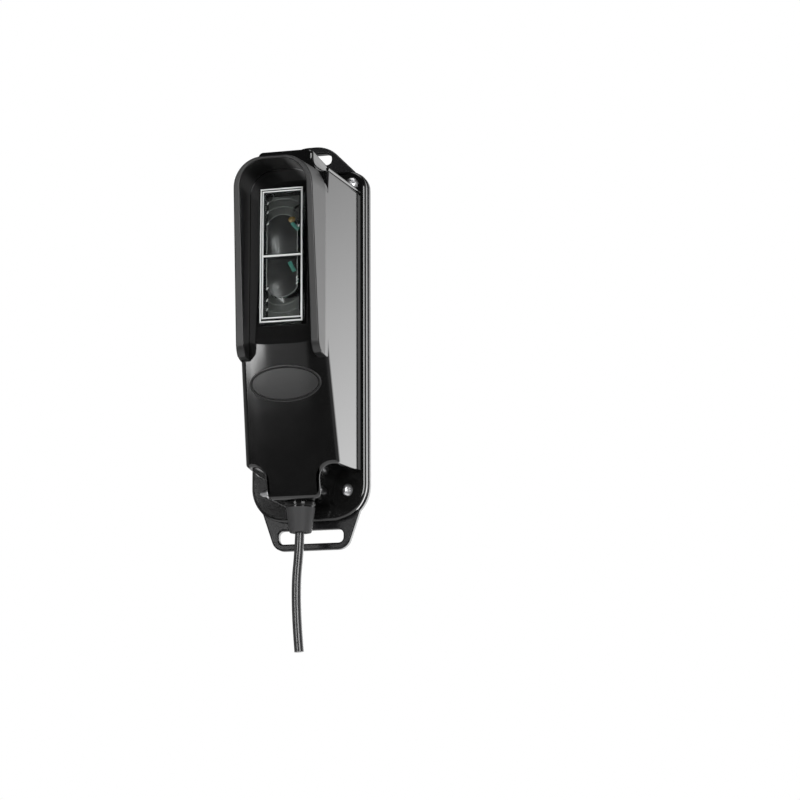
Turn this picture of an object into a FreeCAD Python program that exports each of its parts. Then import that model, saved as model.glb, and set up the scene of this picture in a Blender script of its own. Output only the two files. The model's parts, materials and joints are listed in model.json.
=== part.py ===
"""Reflective photocell: a hooded sensor head with its optics and circuit board, on a slotted wall plate.

Frame: millimetres, +Z up, the wall face of the plate on Y = 0 and the front facing -Y, the origin at the
middle of that wall face. Depths are measured forward from the wall, so a depth of 10 lies on Y = -10.
"""
import FreeCAD, Part
import math
import os
from types import SimpleNamespace

import Sketcher
from FreeCAD import Rotation, Vector

# Driving dimensions: millimetres, and degrees for the draft
SIZES = {
    # wall plate and its two slotted tabs
    "plate_width": 46.4,
    "plate_thickness": 3.2,
    "plate_rise": 68.5,
    "plate_drop": 70.3,
    "shoulder_radius": 7.5,
    "plate_low_radius": 14.0,
    "top_tab_rise": 80.1,
    "top_tab_root": 35.6,
    "top_tab_crest": 13.0,
    "top_tab_radius": 12.0,
    "low_tab_drop": 80.5,
    "low_tab_start": 60.0,
    "low_tab_root": 42.7,
    "low_tab_foot": 28.7,
    "low_tab_radius": 5.0,
    "top_slot_length": 15.9,
    "top_slot_width": 4.6,
    "top_slot_rise": 74.7,
    "low_slot_length": 25.7,
    "low_slot_width": 5.2,
    "low_slot_drop": 75.35,
    "slot_corner": 2.0,
    "rib_thickness": 1.6,
    "rib_height": 4.0,
    "rib_length": 70.0,
    # seal between the plate and the housing flange
    "gasket_thickness": 1.2,
    "gasket_inset": 0.5,
    # moulded housing
    "wall": 2.2,
    "flange_margin": 0.4,
    "flange_thickness": 2.2,
    "body_width_back": 41.2,
    "body_width_front": 33.9,
    "body_depth": 39.45,
    "body_rise": 67.6,
    "body_drop": 64.25,
    "chin_drop": 6.45,
    "toe_depth": 25.5,
    "front_edge_radius": 2.6,
    "notch_radius": 5.4,
    "crown_width": 21.8,
    "crown_floor": 58.5,
    "crown_radius": 2.0,
    "foot_width": 20.6,
    "foot_ceiling": 51.9,
    # sun hood
    "hood_rise": 62.1,
    "hood_reach": 56.9,
    "hood_corner": 13.0,
    "hood_draft": 6.0,
    "leg_reach": 47.9,
    "leg_radius": 6.0,
    "recess_width": 25.9,
    "recess_rise": 59.3,
    "recess_corner": 9.8,
    "floor_depth": 41.5,
    "floor_wall": 2.4,
    # clear window, its seal and the bay behind it
    "window_width": 16.85,
    "window_height": 52.1,
    "window_rise": 25.35,
    "window_reach": 44.8,
    "window_face": 2.0,
    "window_side": 1.5,
    "window_bar": 1.2,
    "window_lip": 1.6,
    "window_lip_thickness": 1.4,
    "seal_thickness": 0.8,
    "bay_margin": 1.2,
    # optics
    "lens_spacing": 19.0,
    "lens_diameter": 14.2,
    "lens_edge": 1.7,
    "lens_sphere_radius": 28.0,
    "lens_seat_depth": 2.6,
    "barrel_side": 9.8,
    "carrier_width": 21.8,
    "carrier_height": 55.0,
    # circuit board and what is soldered to it
    "board_depth": 23.2,
    "board_thickness": 1.6,
    "board_width": 27.0,
    "board_rise": 55.0,
    "board_drop": 46.0,
    "board_tongue_width": 14.0,
    "board_tongue_rise": 63.6,
    "post_diameter": 6.0,
    "post_bore": 2.0,
    "top_post_rise": 60.0,
    "low_post_drop": 36.0,
    "emitter_diameter": 5.0,
    "emitter_height": 6.0,
    "receiver_side": 5.4,
    "receiver_height": 3.2,
    "pilot_diameter": 3.0,
    "pilot_tip_gap": 1.3,
    "pilot_body": 4.6,
    "pilot_offset": 4.6,
    "pilot_rise": 44.4,
    "pilot_lead_side": 0.5,
    "pilot_lead_pitch": 1.5,
    "relay_width": 15.5,
    "relay_height": 20.0,
    "relay_depth": 10.5,
    "relay_drop": 12.0,
    "capacitor_diameter": 8.0,
    "capacitor_height": 10.5,
    "capacitor_offset": 6.5,
    "capacitor_rise": 34.0,
    "chip_width": 6.2,
    "chip_height": 10.0,
    "chip_depth": 1.7,
    "chip_offset": 5.0,
    "chip_rise": 14.0,
    "regulator_width": 6.6,
    "regulator_height": 6.2,
    "regulator_depth": 2.3,
    "regulator_offset": 7.0,
    "regulator_rise": 48.0,
    "connector_width": 8.0,
    "connector_height": 7.0,
    "connector_reach": 8.2,
    "connector_drop": 42.4,
    # screws, the corner ones placed from the notches that they stand in
    "top_screw_spacing": 34.4,
    "low_screw_spacing": 30.8,
    "screw_rise": 4.1,
    "screw_drop": 6.7,
    "screw_diameter": 2.9,
    "screw_head_diameter": 4.8,
    "screw_head_height": 1.9,
    "screw_tip_depth": 0.9,
    "board_screw_diameter": 1.8,
    "board_screw_head_diameter": 4.2,
    "board_screw_head_height": 1.5,
    "board_screw_length": 7.0,
    # gland and cable
    "gland_depth": 16.8,
    "gland_neck_diameter": 8.4,
    "gland_inner_diameter": 11.2,
    "gland_inner_height": 2.2,
    "gland_flange_diameter": 12.0,
    "gland_flange_height": 1.6,
    "gland_root_diameter": 11.2,
    "gland_tip_diameter": 8.3,
    "gland_drop": 75.8,
    "cable_diameter": 3.6,
    "tie_thickness": 1.3,
    "tie_height": 2.4,
    "wire_diameter": 1.1,
    "wire_pitch": 1.4,
    # clearances
    "fit": 0.15,
    "cable_fit": 0.25,
    "clearance": 0.3,
}

# Points of the cable's line as (X, depth beyond the gland's axis, Z), from inside the gland to the cut end
CABLE_ROUTE = [(0.0, 0.0, -58.0), (0.0, 0.0, -78.0), (-2.2, 0.0, -100.0), (-0.3, 0.0, -120.5)]
CABLE_ARC_SHARE = 0.25
# How far a cutting outline runs past the material that it cuts
OVERRUN = 2.0
SIDES = (-1, 1)


class Size:
    """A length known both as a number and as the spreadsheet expression that it comes from."""

    def __init__(self, value, text):
        self.value = float(value)
        self.text = text

    def _joined(self, sign, other, value, swapped=False):
        first, second = (other, self) if swapped else (self, other)
        return Size(value, f"({first.text} {sign} {second.text})")

    def __add__(self, other):
        other = as_size(other)
        return self._joined("+", other, self.value + other.value)

    __radd__ = __add__

    def __sub__(self, other):
        other = as_size(other)
        return self._joined("-", other, self.value - other.value)

    def __rsub__(self, other):
        other = as_size(other)
        return self._joined("-", other, other.value - self.value, swapped=True)

    def __mul__(self, other):
        other = as_size(other)
        return self._joined("*", other, self.value * other.value)

    __rmul__ = __mul__

    def __truediv__(self, other):
        other = as_size(other)
        return self._joined("/", other, self.value / other.value)

    def __neg__(self):
        return Size(-self.value, f"(-1 * {self.text})")


def as_size(thing):
    """The thing itself if it is a Size already, and otherwise a fixed number as one."""
    return thing if isinstance(thing, Size) else Size(thing, repr(float(thing)))


def make_sheet(doc):
    """Writes the driving dimensions into the document's spreadsheet and returns them as Sizes by name."""
    sheet = doc.addObject("Spreadsheet::Sheet", "sizes")
    for row, (name, value) in enumerate(SIZES.items(), start=1):
        sheet.set(f"A{row}", name)
        sheet.set(f"B{row}", str(value))
        sheet.setAlias(f"B{row}", name)
    doc.recompute()
    return SimpleNamespace(**{name: Size(getattr(sheet, name), f"sizes.{name}") for name in SIZES})


def bind(thing, **properties):
    """Binds properties to sizes: two underscores in a name stand for the dot of a nested property."""
    for name, size in properties.items():
        thing.setExpression(name.replace("__", "."), as_size(size).text)


# Sketches

def new_sketch(body, role, lift=0.0, across=0.0, along=0.0):
    """A sketch on one of the body's origin planes, lifted off it and shifted in it."""
    plane = next(f for f in body.Origin.OriginFeatures if f.Role == role)
    sketch = body.newObject("Sketcher::SketchObject", "outline")
    sketch.AttachmentSupport = [(plane, "")]
    sketch.MapMode = "FlatFace"
    bind(sketch, AttachmentOffset__Base__x=across, AttachmentOffset__Base__y=along,
         AttachmentOffset__Base__z=lift)
    return sketch


def front_sketch(body, depth=0.0):
    """A sketch seen from the front, X across and Z up, at a depth in front of the wall; it pads forward."""
    return new_sketch(body, "XZ_Plane", lift=depth)


def constrain(sketch, kind, *where, size):
    """Adds a dimension to a sketch and binds it to a size."""
    index = sketch.addConstraint(Sketcher.Constraint(kind, *where, size.value))
    sketch.setExpression(f"Constraints[{index}]", size.text)


def place_point(sketch, geometry, end, x, y):
    """Dimensions a point of the sketch from the sketch's origin."""
    constrain(sketch, "DistanceX", -1, 1, geometry, end, size=x)
    constrain(sketch, "DistanceY", -1, 1, geometry, end, size=y)


def corner_arc(before, corner, after, radius):
    """Where a rounded corner leaves its two lines, its centre, and whether it turns left."""
    back = (before - corner).normalize()
    ahead = (after - corner).normalize()
    half = back.getAngle(ahead) / 2
    run = radius / math.tan(half)
    centre = corner + (back + ahead).normalize() * (radius / math.sin(half))
    turns_left = (-back).cross(ahead).z > 0
    return corner + back * run, corner + ahead * run, centre, turns_left


def draw_outline(sketch, corners):
    """Draws a closed outline of straight lines through corners (x, y) or, rounded, (x, y, radius)."""
    corners = [tuple(as_size(value) for value in corner) for corner in corners]
    points = [Vector(corner[0].value, corner[1].value, 0) for corner in corners]
    count = len(corners)
    arrive, leave, arcs = list(points), list(points), {}
    for i, corner in enumerate(corners):
        if len(corner) == 3:
            after = points[(i + 1) % count]
            arrive[i], leave[i], centre, left = corner_arc(points[i - 1], points[i], after, corner[2].value)
            arcs[i] = (centre, left)
    first = sketch.GeometryCount
    sketch.addGeometry([Part.LineSegment(leave[i], arrive[(i + 1) % count]) for i in range(count)], False)
    for i, corner in enumerate(corners):
        line_in, line_out = first + (i - 1) % count, first + i
        if i not in arcs:
            sketch.addConstraint(Sketcher.Constraint("Coincident", line_in, 2, line_out, 1))
            place_point(sketch, line_out, 1, corner[0], corner[1])
            continue
        centre, left = arcs[i]
        start, end = (arrive[i], leave[i]) if left else (leave[i], arrive[i])
        angles = [math.atan2(p.y - centre.y, p.x - centre.x) for p in (start, end)]
        circle = Part.Circle(centre, Vector(0, 0, 1), corner[2].value)
        arc = sketch.addGeometry(Part.ArcOfCircle(circle, *angles), False)
        arc_in, arc_out = (1, 2) if left else (2, 1)
        point = sketch.addGeometry(Part.Point(points[i]), True)
        sketch.addConstraint([
            Sketcher.Constraint("Tangent", line_in, 2, arc, arc_in),
            Sketcher.Constraint("Tangent", line_out, 1, arc, arc_out),
            Sketcher.Constraint("PointOnObject", point, 1, line_in),
            Sketcher.Constraint("PointOnObject", point, 1, line_out),
        ])
        constrain(sketch, "Radius", arc, size=corner[2])
        place_point(sketch, point, 1, corner[0], corner[1])


def mirrored(right_half):
    """A whole outline from its right half, listed upwards."""
    return right_half + [(-as_size(x), *rest) for x, *rest in reversed(right_half)]


def rectangle(width, low, high, *radius):
    """Corners of a rectangle centred on X = 0."""
    return mirrored([(width / 2, low, *radius), (width / 2, high, *radius)])


def block_outline(x, z, width, height, *radius):
    """Corners of a rectangle about a centre."""
    return [(x + side_x * width / 2, z + side_z * height / 2, *radius)
            for side_x, side_z in ((-1, -1), (1, -1), (1, 1), (-1, 1))]


def draw_circle(sketch, x, y, diameter):
    """Draws a circle about a centre."""
    x, y, radius = as_size(x), as_size(y), as_size(diameter) / 2
    centre = Vector(x.value, y.value, 0)
    circle = sketch.addGeometry(Part.Circle(centre, Vector(0, 0, 1), radius.value), False)
    constrain(sketch, "Radius", circle, size=radius)
    place_point(sketch, circle, 3, x, y)


# Features

def new_body(doc, label):
    """A PartDesign body under its node's name."""
    body = doc.addObject("PartDesign::Body", label)
    body.Label = label
    return body


def pad(body, sketch, length, taper=None):
    """Pads a sketch along its normal, drawn in by a draft angle where one is given."""
    feature = body.newObject("PartDesign::Pad", "pad")
    feature.Profile = sketch
    bind(feature, Length=length)
    if taper is not None:
        bind(feature, TaperAngle=-taper)
    return feature


def pocket(body, sketch, length, forward=False):
    """Cuts a sketch into the body, backwards from its plane unless it is told to cut forward."""
    feature = body.newObject("PartDesign::Pocket", "pocket")
    feature.Profile = sketch
    feature.Reversed = forward
    bind(feature, Length=length)
    return feature


def cut_across(body, sketch, width):
    """Cuts a side-view sketch across the body, half its width to each side of X = 0."""
    feature = pocket(body, sketch, width)
    feature.SideType = "Symmetric"
    return feature


def revolve(body, sketch):
    """Turns a sketch about its own vertical axis."""
    feature = body.newObject("PartDesign::Revolution", "revolution")
    feature.Profile = sketch
    feature.ReferenceAxis = (sketch, ["V_Axis"])
    feature.Angle = 360.0
    return feature


def round_edges(doc, body, base, radius, wanted):
    """Rounds the edges of a feature whose middle passes the test."""
    doc.recompute()
    edges = enumerate(base.Shape.Edges, start=1)
    names = [f"Edge{i}" for i, edge in edges if wanted(edge, edge.CenterOfMass)]
    feature = body.newObject("PartDesign::Fillet", "fillet")
    feature.Base = (base, names)
    bind(feature, Radius=radius)
    return feature


def block(doc, label, x, z, width, height, back, front, *radius):
    """A moulded block: a rectangle seen from the front, between two depths."""
    body = new_body(doc, label)
    sketch = front_sketch(body, back)
    draw_outline(sketch, block_outline(x, z, width, height, *radius))
    pad(body, sketch, front - back)
    return body


def compound(doc, label, pieces):
    """Separate solids that share one node."""
    group = doc.addObject("Part::Compound", label)
    group.Label = label
    group.Links = pieces
    return group


# Levels and places that several pieces share

def derive(s):
    """Adds the depths, heights and half-widths that follow from the driving dimensions."""
    s.seat = s.plate_thickness + s.gasket_thickness
    s.flange_front = s.seat + s.flange_thickness
    s.flange_width = s.plate_width - 2 * s.flange_margin
    screw_rows = ((s.top_screw_spacing, s.crown_floor + s.screw_rise),
                  (s.low_screw_spacing, -s.foot_ceiling - s.screw_drop))
    s.screw_places = [(side * spacing / 2, z) for spacing, z in screw_rows for side in SIDES]
    s.inner_floor = s.floor_depth - s.floor_wall
    s.window_lip_front = s.inner_floor - s.seal_thickness
    s.window_back = s.window_lip_front - s.window_lip_thickness
    s.window_low = s.window_rise - s.window_height / 2
    s.window_high = s.window_rise + s.window_height / 2
    s.opening = (s.window_width + 2 * s.fit, s.window_height + 2 * s.fit)
    s.lip_width = s.window_width + 2 * s.window_lip
    s.lip_height = s.window_height + 2 * s.window_lip
    s.lens_centres = [s.window_rise + side * s.lens_spacing / 2 for side in SIDES]
    s.lens_back = s.window_back - s.lens_seat_depth
    s.board_back = s.board_depth - s.board_thickness
    s.slope = (s.floor_depth - s.toe_depth) / (s.body_drop - s.chin_drop)
    s.leg_foot = s.chin_drop + (s.floor_depth - s.body_depth) / s.slope
    s.cavity_front = s.body_depth - s.wall
    s.gland_bore = s.cable_diameter + 2 * s.cable_fit
    return s


def half_width_at(s, depth):
    """Half the drafted housing's width at a depth in front of the wall."""
    lean = (s.body_width_back - s.body_width_front) / 2 / (s.body_depth - s.flange_front)
    return s.body_width_back / 2 - lean * (depth - s.flange_front)


def chin_depth_at(s, z):
    """Depth of the sloping lower front at a height."""
    return s.floor_depth + s.slope * (z + s.chin_drop)


# Wall plate, seal and screws

def back_plate(doc, s):
    """Wall plate with a slotted tab at each end, two ribs that locate the housing and four pilot holes."""
    body = new_body(doc, "back_plate")
    half = s.plate_width / 2
    tray = front_sketch(body)
    draw_outline(tray, mirrored([(half, -s.plate_drop, s.plate_low_radius),
                                 (half, s.plate_rise, s.shoulder_radius)]))
    pad(body, tray, s.plate_thickness)
    low_tab = front_sketch(body)
    draw_outline(low_tab, mirrored([(s.low_tab_foot / 2, -s.low_tab_drop, s.low_tab_radius),
                                    (s.low_tab_root / 2, -s.low_tab_start)]))
    pad(body, low_tab, s.plate_thickness)
    top_tab = front_sketch(body)
    root = s.plate_rise - s.shoulder_radius
    draw_outline(top_tab, mirrored([(s.top_tab_root / 2, root), (s.top_tab_root / 2, s.plate_rise),
                                    (s.top_tab_crest / 2, s.top_tab_rise, s.top_tab_radius)]))
    pad(body, top_tab, s.plate_thickness)
    ribs = front_sketch(body, s.plate_thickness)
    rib_x = half_width_at(s, s.seat + s.rib_height) - s.wall - s.clearance - s.rib_thickness / 2
    for side in SIDES:
        draw_outline(ribs, block_outline(side * rib_x, as_size(0), s.rib_thickness, s.rib_length))
    pad(body, ribs, s.gasket_thickness + s.rib_height)
    slots = front_sketch(body)
    for z, length, width in ((s.top_slot_rise, s.top_slot_length, s.top_slot_width),
                             (-s.low_slot_drop, s.low_slot_length, s.low_slot_width)):
        draw_outline(slots, block_outline(as_size(0), z, length, width, s.slot_corner))
    pocket(body, slots, s.plate_thickness, forward=True)
    pilots = front_sketch(body, s.plate_thickness)
    for x, z in s.screw_places:
        draw_circle(pilots, x, z, s.screw_diameter + s.fit)
    pocket(body, pilots, s.plate_thickness - s.screw_tip_depth + s.fit)
    return body


def base_gasket(doc, s):
    """Flat rubber seal under the housing flange, open inside and holed for the screws."""
    body = new_body(doc, "base_gasket")
    edge = s.flange_margin + s.gasket_inset
    half = s.plate_width / 2 - edge
    sheet = front_sketch(body, s.plate_thickness)
    draw_outline(sheet, mirrored([(half, edge - s.plate_drop, s.plate_low_radius - edge),
                                  (half, s.plate_rise - edge, s.shoulder_radius - edge)]))
    draw_outline(sheet, rectangle(2 * (half_width_at(s, s.seat) - s.wall), s.wall - s.foot_ceiling,
                                  s.crown_floor - s.wall))
    for x, z in s.screw_places:
        draw_circle(sheet, x, z, s.screw_diameter + 2 * s.clearance)
    pad(body, sheet, s.gasket_thickness)
    return body


def screw(doc, label, x, z, tip, seat, head_height, diameter, head_diameter, heads_back=False):
    """A flat-headed screw along Y, its head in front of the seat or, if it heads back, behind it."""
    body = new_body(doc, label)
    sketch = new_sketch(body, "XY_Plane", lift=z, across=x)
    facing = 1 if heads_back else -1
    edge = -as_size(seat)
    top = edge + facing * head_height
    draw_outline(sketch, [(0, -as_size(tip)), (diameter / 2, -as_size(tip)), (diameter / 2, edge),
                          (head_diameter / 2, edge), (head_diameter / 2, top), (0, top)])
    revolve(body, sketch)
    return body


def cover_screws(doc, s):
    """Four screws that hold the housing's corners to the plate."""
    return compound(doc, "cover_screws", [
        screw(doc, "cover_screw", x, z, s.screw_tip_depth + s.fit, s.flange_front, s.screw_head_height,
              s.screw_diameter, s.screw_head_diameter) for x, z in s.screw_places])


# Housing

def draw_notches(s, sketch, inset):
    """Draws the four open notches over the corner screws, their walls moved inwards by an inset."""
    radius = s.notch_radius + inset
    for x_side in SIDES:
        far_x = x_side * (s.plate_width / 2 + OVERRUN)
        for z_side, width, level, limit in ((1, s.crown_width, s.crown_floor, s.body_rise),
                                            (-1, s.foot_width, s.foot_ceiling, s.body_drop)):
            wall_x, wall_z = x_side * (width / 2 - inset), z_side * (level - inset)
            far_z = z_side * (limit + s.notch_radius)
            draw_outline(sketch, [(wall_x, far_z), (wall_x, wall_z, radius), (far_x, wall_z), (far_x, far_z)])


def drafted_block(body, s, inset, back, front):
    """The housing's tapering block, drawn in by an inset at its sides and ends."""
    plan = new_sketch(body, "XY_Plane", lift=inset - s.body_drop)
    draw_outline(plan, [(half_width_at(s, back) - inset, -back), (half_width_at(s, front) - inset, -front),
                        (inset - half_width_at(s, front), -front), (inset - half_width_at(s, back), -back)])
    return pad(body, plan, s.body_rise + s.body_drop - 2 * inset)


def cut_chin(body, s, back_off):
    """Cuts the block's lower front to the chin's slope, a distance behind it."""
    side = new_sketch(body, "YZ_Plane")
    low = -s.body_drop - OVERRUN
    high = OVERRUN - s.chin_drop
    far = s.floor_depth + 2 * OVERRUN
    draw_outline(side, [(back_off - chin_depth_at(s, low), low), (back_off - chin_depth_at(s, high), high),
                        (-far, high), (-far, low)])
    return cut_across(body, side, s.plate_width)


def housing_block(doc, s):
    """Outer form of the housing: drafted block, chin, corner notches, flange and sun hood."""
    body = new_body(doc, "housing_block")
    drafted_block(body, s, as_size(0), s.seat, s.body_depth)
    chin = cut_chin(body, s, as_size(0))
    front = -(s.body_depth.value + s.toe_depth.value) / 2
    round_edges(doc, body, chin, s.front_edge_radius,
                lambda edge, middle: abs(middle.x) > s.body_width_front.value / 2 - s.wall.value
                and middle.z < -s.leg_foot.value and abs(middle.y - front) < s.front_edge_radius.value
                and edge.BoundBox.ZLength > s.notch_radius.value)
    notches = front_sketch(body, s.body_depth + OVERRUN)
    draw_notches(s, notches, as_size(0))
    notched = pocket(body, notches, s.body_depth + OVERRUN - s.seat)
    ends = ((s.crown_width.value / 2, s.body_rise.value), (s.foot_width.value / 2, -s.body_drop.value))
    round_edges(doc, body, notched, s.crown_radius,
                lambda edge, middle: min(math.hypot(abs(middle.x) - x, middle.z - z)
                                         for x, z in ends) < s.fit.value)
    flange = front_sketch(body, s.seat)
    draw_outline(flange, mirrored([
        (s.flange_width / 2, s.flange_margin - s.plate_drop, s.plate_low_radius - s.flange_margin),
        (s.flange_width / 2, s.plate_rise - s.flange_margin, s.shoulder_radius - s.flange_margin)]))
    pad(body, flange, s.flange_thickness)
    holes = front_sketch(body, s.flange_front)
    for x, z in s.screw_places:
        draw_circle(holes, x, z, s.screw_diameter + 2 * s.clearance)
    pocket(body, holes, s.flange_thickness)
    sun_hood(body, s)
    return body


def sun_hood(body, s):
    """Arched hood on the block's front, its rim leaning back towards two legs beside the chin."""
    arch = front_sketch(body, s.body_depth)
    half = s.body_width_front / 2
    draw_outline(arch, mirrored([(half, -s.leg_foot), (half, s.hood_rise, s.hood_corner)]))
    past = s.hood_reach + OVERRUN
    pad(body, arch, past - s.body_depth, taper=s.hood_draft)
    rim_lean = (s.hood_reach - s.leg_reach) / (s.hood_rise + s.leg_foot)
    side = new_sketch(body, "YZ_Plane")
    high, low = s.hood_rise + OVERRUN, -s.leg_foot - OVERRUN
    far = past + OVERRUN
    draw_outline(side, [(-(s.hood_reach + rim_lean * OVERRUN), high), (-far, high), (-far, low),
                        (-s.body_depth, low), (-s.body_depth, -s.leg_foot),
                        (-s.leg_reach, -s.leg_foot, s.leg_radius)])
    cut_across(body, side, s.plate_width)
    recess = front_sketch(body, past)
    inside = s.recess_width / 2
    draw_outline(recess, mirrored([(inside, low), (inside, s.recess_rise, s.recess_corner)]))
    pocket(body, recess, past - s.floor_depth)
    chin = new_sketch(body, "YZ_Plane")
    draw_outline(chin, [(-s.floor_depth, -s.chin_drop), (-s.body_depth, -s.leg_foot), (-far, -s.leg_foot),
                        (-far, -s.chin_drop)])
    cut_across(body, chin, s.recess_width)
    opening = front_sketch(body, past)
    draw_outline(opening, block_outline(as_size(0), s.window_rise, *s.opening))
    pocket(body, opening, past - s.body_depth)


def housing_cavity(doc, s):
    """The housing's hollow: its drafted inside less two board posts, the window bay and the gland's hole."""
    body = new_body(doc, "housing_cavity")
    drafted_block(body, s, s.wall, s.seat - OVERRUN, s.cavity_front)
    cut_chin(body, s, s.floor_wall)
    notches = front_sketch(body, s.body_depth + OVERRUN)
    draw_notches(s, notches, s.wall)
    pocket(body, notches, s.body_depth + 2 * OVERRUN)
    bay = front_sketch(body, s.board_depth)
    draw_outline(bay, block_outline(as_size(0), s.window_rise, s.lip_width + 2 * s.bay_margin,
                                    s.lip_height + 2 * s.bay_margin))
    pad(body, bay, s.inner_floor - s.board_depth)
    opening = front_sketch(body, s.cavity_front)
    draw_outline(opening, block_outline(as_size(0), s.window_rise, *s.opening))
    pad(body, opening, s.floor_depth - s.cavity_front)
    posts = front_sketch(body, s.board_depth)
    for z in (s.top_post_rise, -s.low_post_drop):
        draw_circle(posts, as_size(0), z, s.post_diameter)
        draw_circle(posts, as_size(0), z, s.post_bore)
    pocket(body, posts, s.inner_floor - s.board_depth, forward=True)
    gland_hole = new_sketch(body, "XY_Plane", lift=-s.body_drop - OVERRUN)
    draw_circle(gland_hole, as_size(0), -s.gland_depth, s.gland_neck_diameter + 2 * s.fit)
    pad(body, gland_hole, s.wall + 2 * OVERRUN)
    return body


def housing(doc, s):
    """Moulded housing in one piece with its flange and sun hood, open at the back."""
    shell = doc.addObject("Part::Cut", "housing")
    shell.Label = "housing"
    shell.Base = housing_block(doc, s)
    shell.Tool = housing_cavity(doc, s)
    return shell


# Window and optics

def lens_window(doc, s):
    """Clear window: a lipped block with two cells, hollow from behind."""
    body = new_body(doc, "lens_window")
    lip = front_sketch(body, s.window_back)
    draw_outline(lip, block_outline(as_size(0), s.window_rise, s.lip_width, s.lip_height))
    pad(body, lip, s.window_lip_thickness)
    face = front_sketch(body, s.window_lip_front)
    draw_outline(face, block_outline(as_size(0), s.window_rise, s.window_width, s.window_height))
    pad(body, face, s.window_reach - s.window_lip_front)
    cells = front_sketch(body, s.window_back)
    cell_width = s.window_width - 2 * s.window_side
    cell_height = (s.window_height - 2 * s.window_side - s.window_bar) / 2
    for side in SIDES:
        middle = s.window_rise + side * (cell_height + s.window_bar) / 2
        draw_outline(cells, block_outline(as_size(0), middle, cell_width, cell_height))
    pocket(body, cells, s.window_reach - s.window_face - s.window_back, forward=True)
    return body


def window_seal(doc, s):
    """Rubber frame between the window's lip and the inside of the housing."""
    body = new_body(doc, "window_seal")
    frame = front_sketch(body, s.window_lip_front)
    draw_outline(frame, block_outline(as_size(0), s.window_rise, s.lip_width, s.lip_height))
    draw_outline(frame, block_outline(as_size(0), s.window_rise, *s.opening))
    pad(body, frame, s.seal_thickness)
    return body


def lens(doc, label, s, rise):
    """Plano-convex lens seated in the carrier, its dome facing out."""
    disc = doc.addObject("Part::Cylinder", f"{label}_disc")
    bind(disc, Radius=s.lens_diameter / 2, Height=s.lens_seat_depth + s.lens_sphere_radius)
    disc.Placement.Rotation = Rotation(Vector(1, 0, 0), 90)
    bind(disc, Placement__Base__y=-s.lens_back, Placement__Base__z=rise)
    ball = doc.addObject("Part::Sphere", f"{label}_dome")
    bind(ball, Radius=s.lens_sphere_radius)
    radius, across = s.lens_sphere_radius, s.lens_diameter / 2
    run = math.sqrt(radius.value ** 2 - across.value ** 2)
    centre_depth = Size(s.lens_back.value + s.lens_edge.value - run,
                        f"({s.lens_back.text} + {s.lens_edge.text} "
                        f"- sqrt({radius.text} ^ 2 - {across.text} ^ 2))")
    bind(ball, Placement__Base__y=-centre_depth, Placement__Base__z=rise)
    common = doc.addObject("Part::Common", label)
    common.Label = label
    common.Base = disc
    common.Tool = ball
    return common


def lens_carrier(doc, s):
    """Black carrier behind the window: two lens seats, two square light wells and the pilot lamp's hole."""
    body = new_body(doc, "lens_carrier")
    outside = front_sketch(body, s.board_depth)
    draw_outline(outside, block_outline(as_size(0), s.window_rise, s.carrier_width, s.carrier_height))
    pad(body, outside, s.window_back - s.board_depth)
    seats = front_sketch(body, s.window_back)
    for rise in s.lens_centres:
        draw_circle(seats, as_size(0), rise, s.lens_diameter + 2 * s.fit)
    pocket(body, seats, s.lens_seat_depth)
    barrels = front_sketch(body, s.window_back)
    for rise in s.lens_centres:
        draw_outline(barrels, block_outline(as_size(0), rise, s.barrel_side, s.barrel_side))
    draw_circle(barrels, s.pilot_offset, s.pilot_rise, s.pilot_diameter + 2 * s.fit)
    pocket(body, barrels, s.window_back - s.board_depth)
    return body


# Circuit board and its components

def circuit_board(doc, s):
    """Board with a tongue between the upper notches, holed for its two screws."""
    body = new_body(doc, "circuit_board")
    sheet = front_sketch(body, s.board_back)
    half, tongue = s.board_width / 2, s.board_tongue_width / 2
    draw_outline(sheet, mirrored([(half, -s.board_drop), (half, s.board_rise), (tongue, s.board_rise),
                                  (tongue, s.board_tongue_rise)]))
    for z in (s.top_post_rise, -s.low_post_drop):
        draw_circle(sheet, as_size(0), z, s.board_screw_diameter + 2 * s.clearance)
    pad(body, sheet, s.board_thickness)
    return body


def rod(doc, label, x, z, diameter, back, front):
    """A round rod along Y between two depths."""
    cylinder = doc.addObject("Part::Cylinder", label)
    cylinder.Placement.Rotation = Rotation(Vector(1, 0, 0), 90)
    bind(cylinder, Radius=diameter / 2, Height=front - back, Placement__Base__x=x, Placement__Base__y=-back,
         Placement__Base__z=z)
    return cylinder


def pilot_lamp(doc, s):
    """Alignment lamp on two long square leads, seen through the window beside the upper lens."""
    front = s.window_back - s.pilot_tip_gap
    back = front - s.pilot_body
    leads = [block(doc, "pilot_lead", s.pilot_offset + side * s.pilot_lead_pitch / 2, s.pilot_rise,
                   s.pilot_lead_side, s.pilot_lead_side, s.board_depth, back) for side in SIDES]
    lamp = doc.addObject("Part::MultiFuse", "alignment_lamp")
    lamp.Label = "alignment_lamp"
    stem = rod(doc, "pilot_stem", s.pilot_offset, s.pilot_rise, s.pilot_diameter, back, front)
    lamp.Shapes = [stem, *leads]
    return lamp


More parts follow.
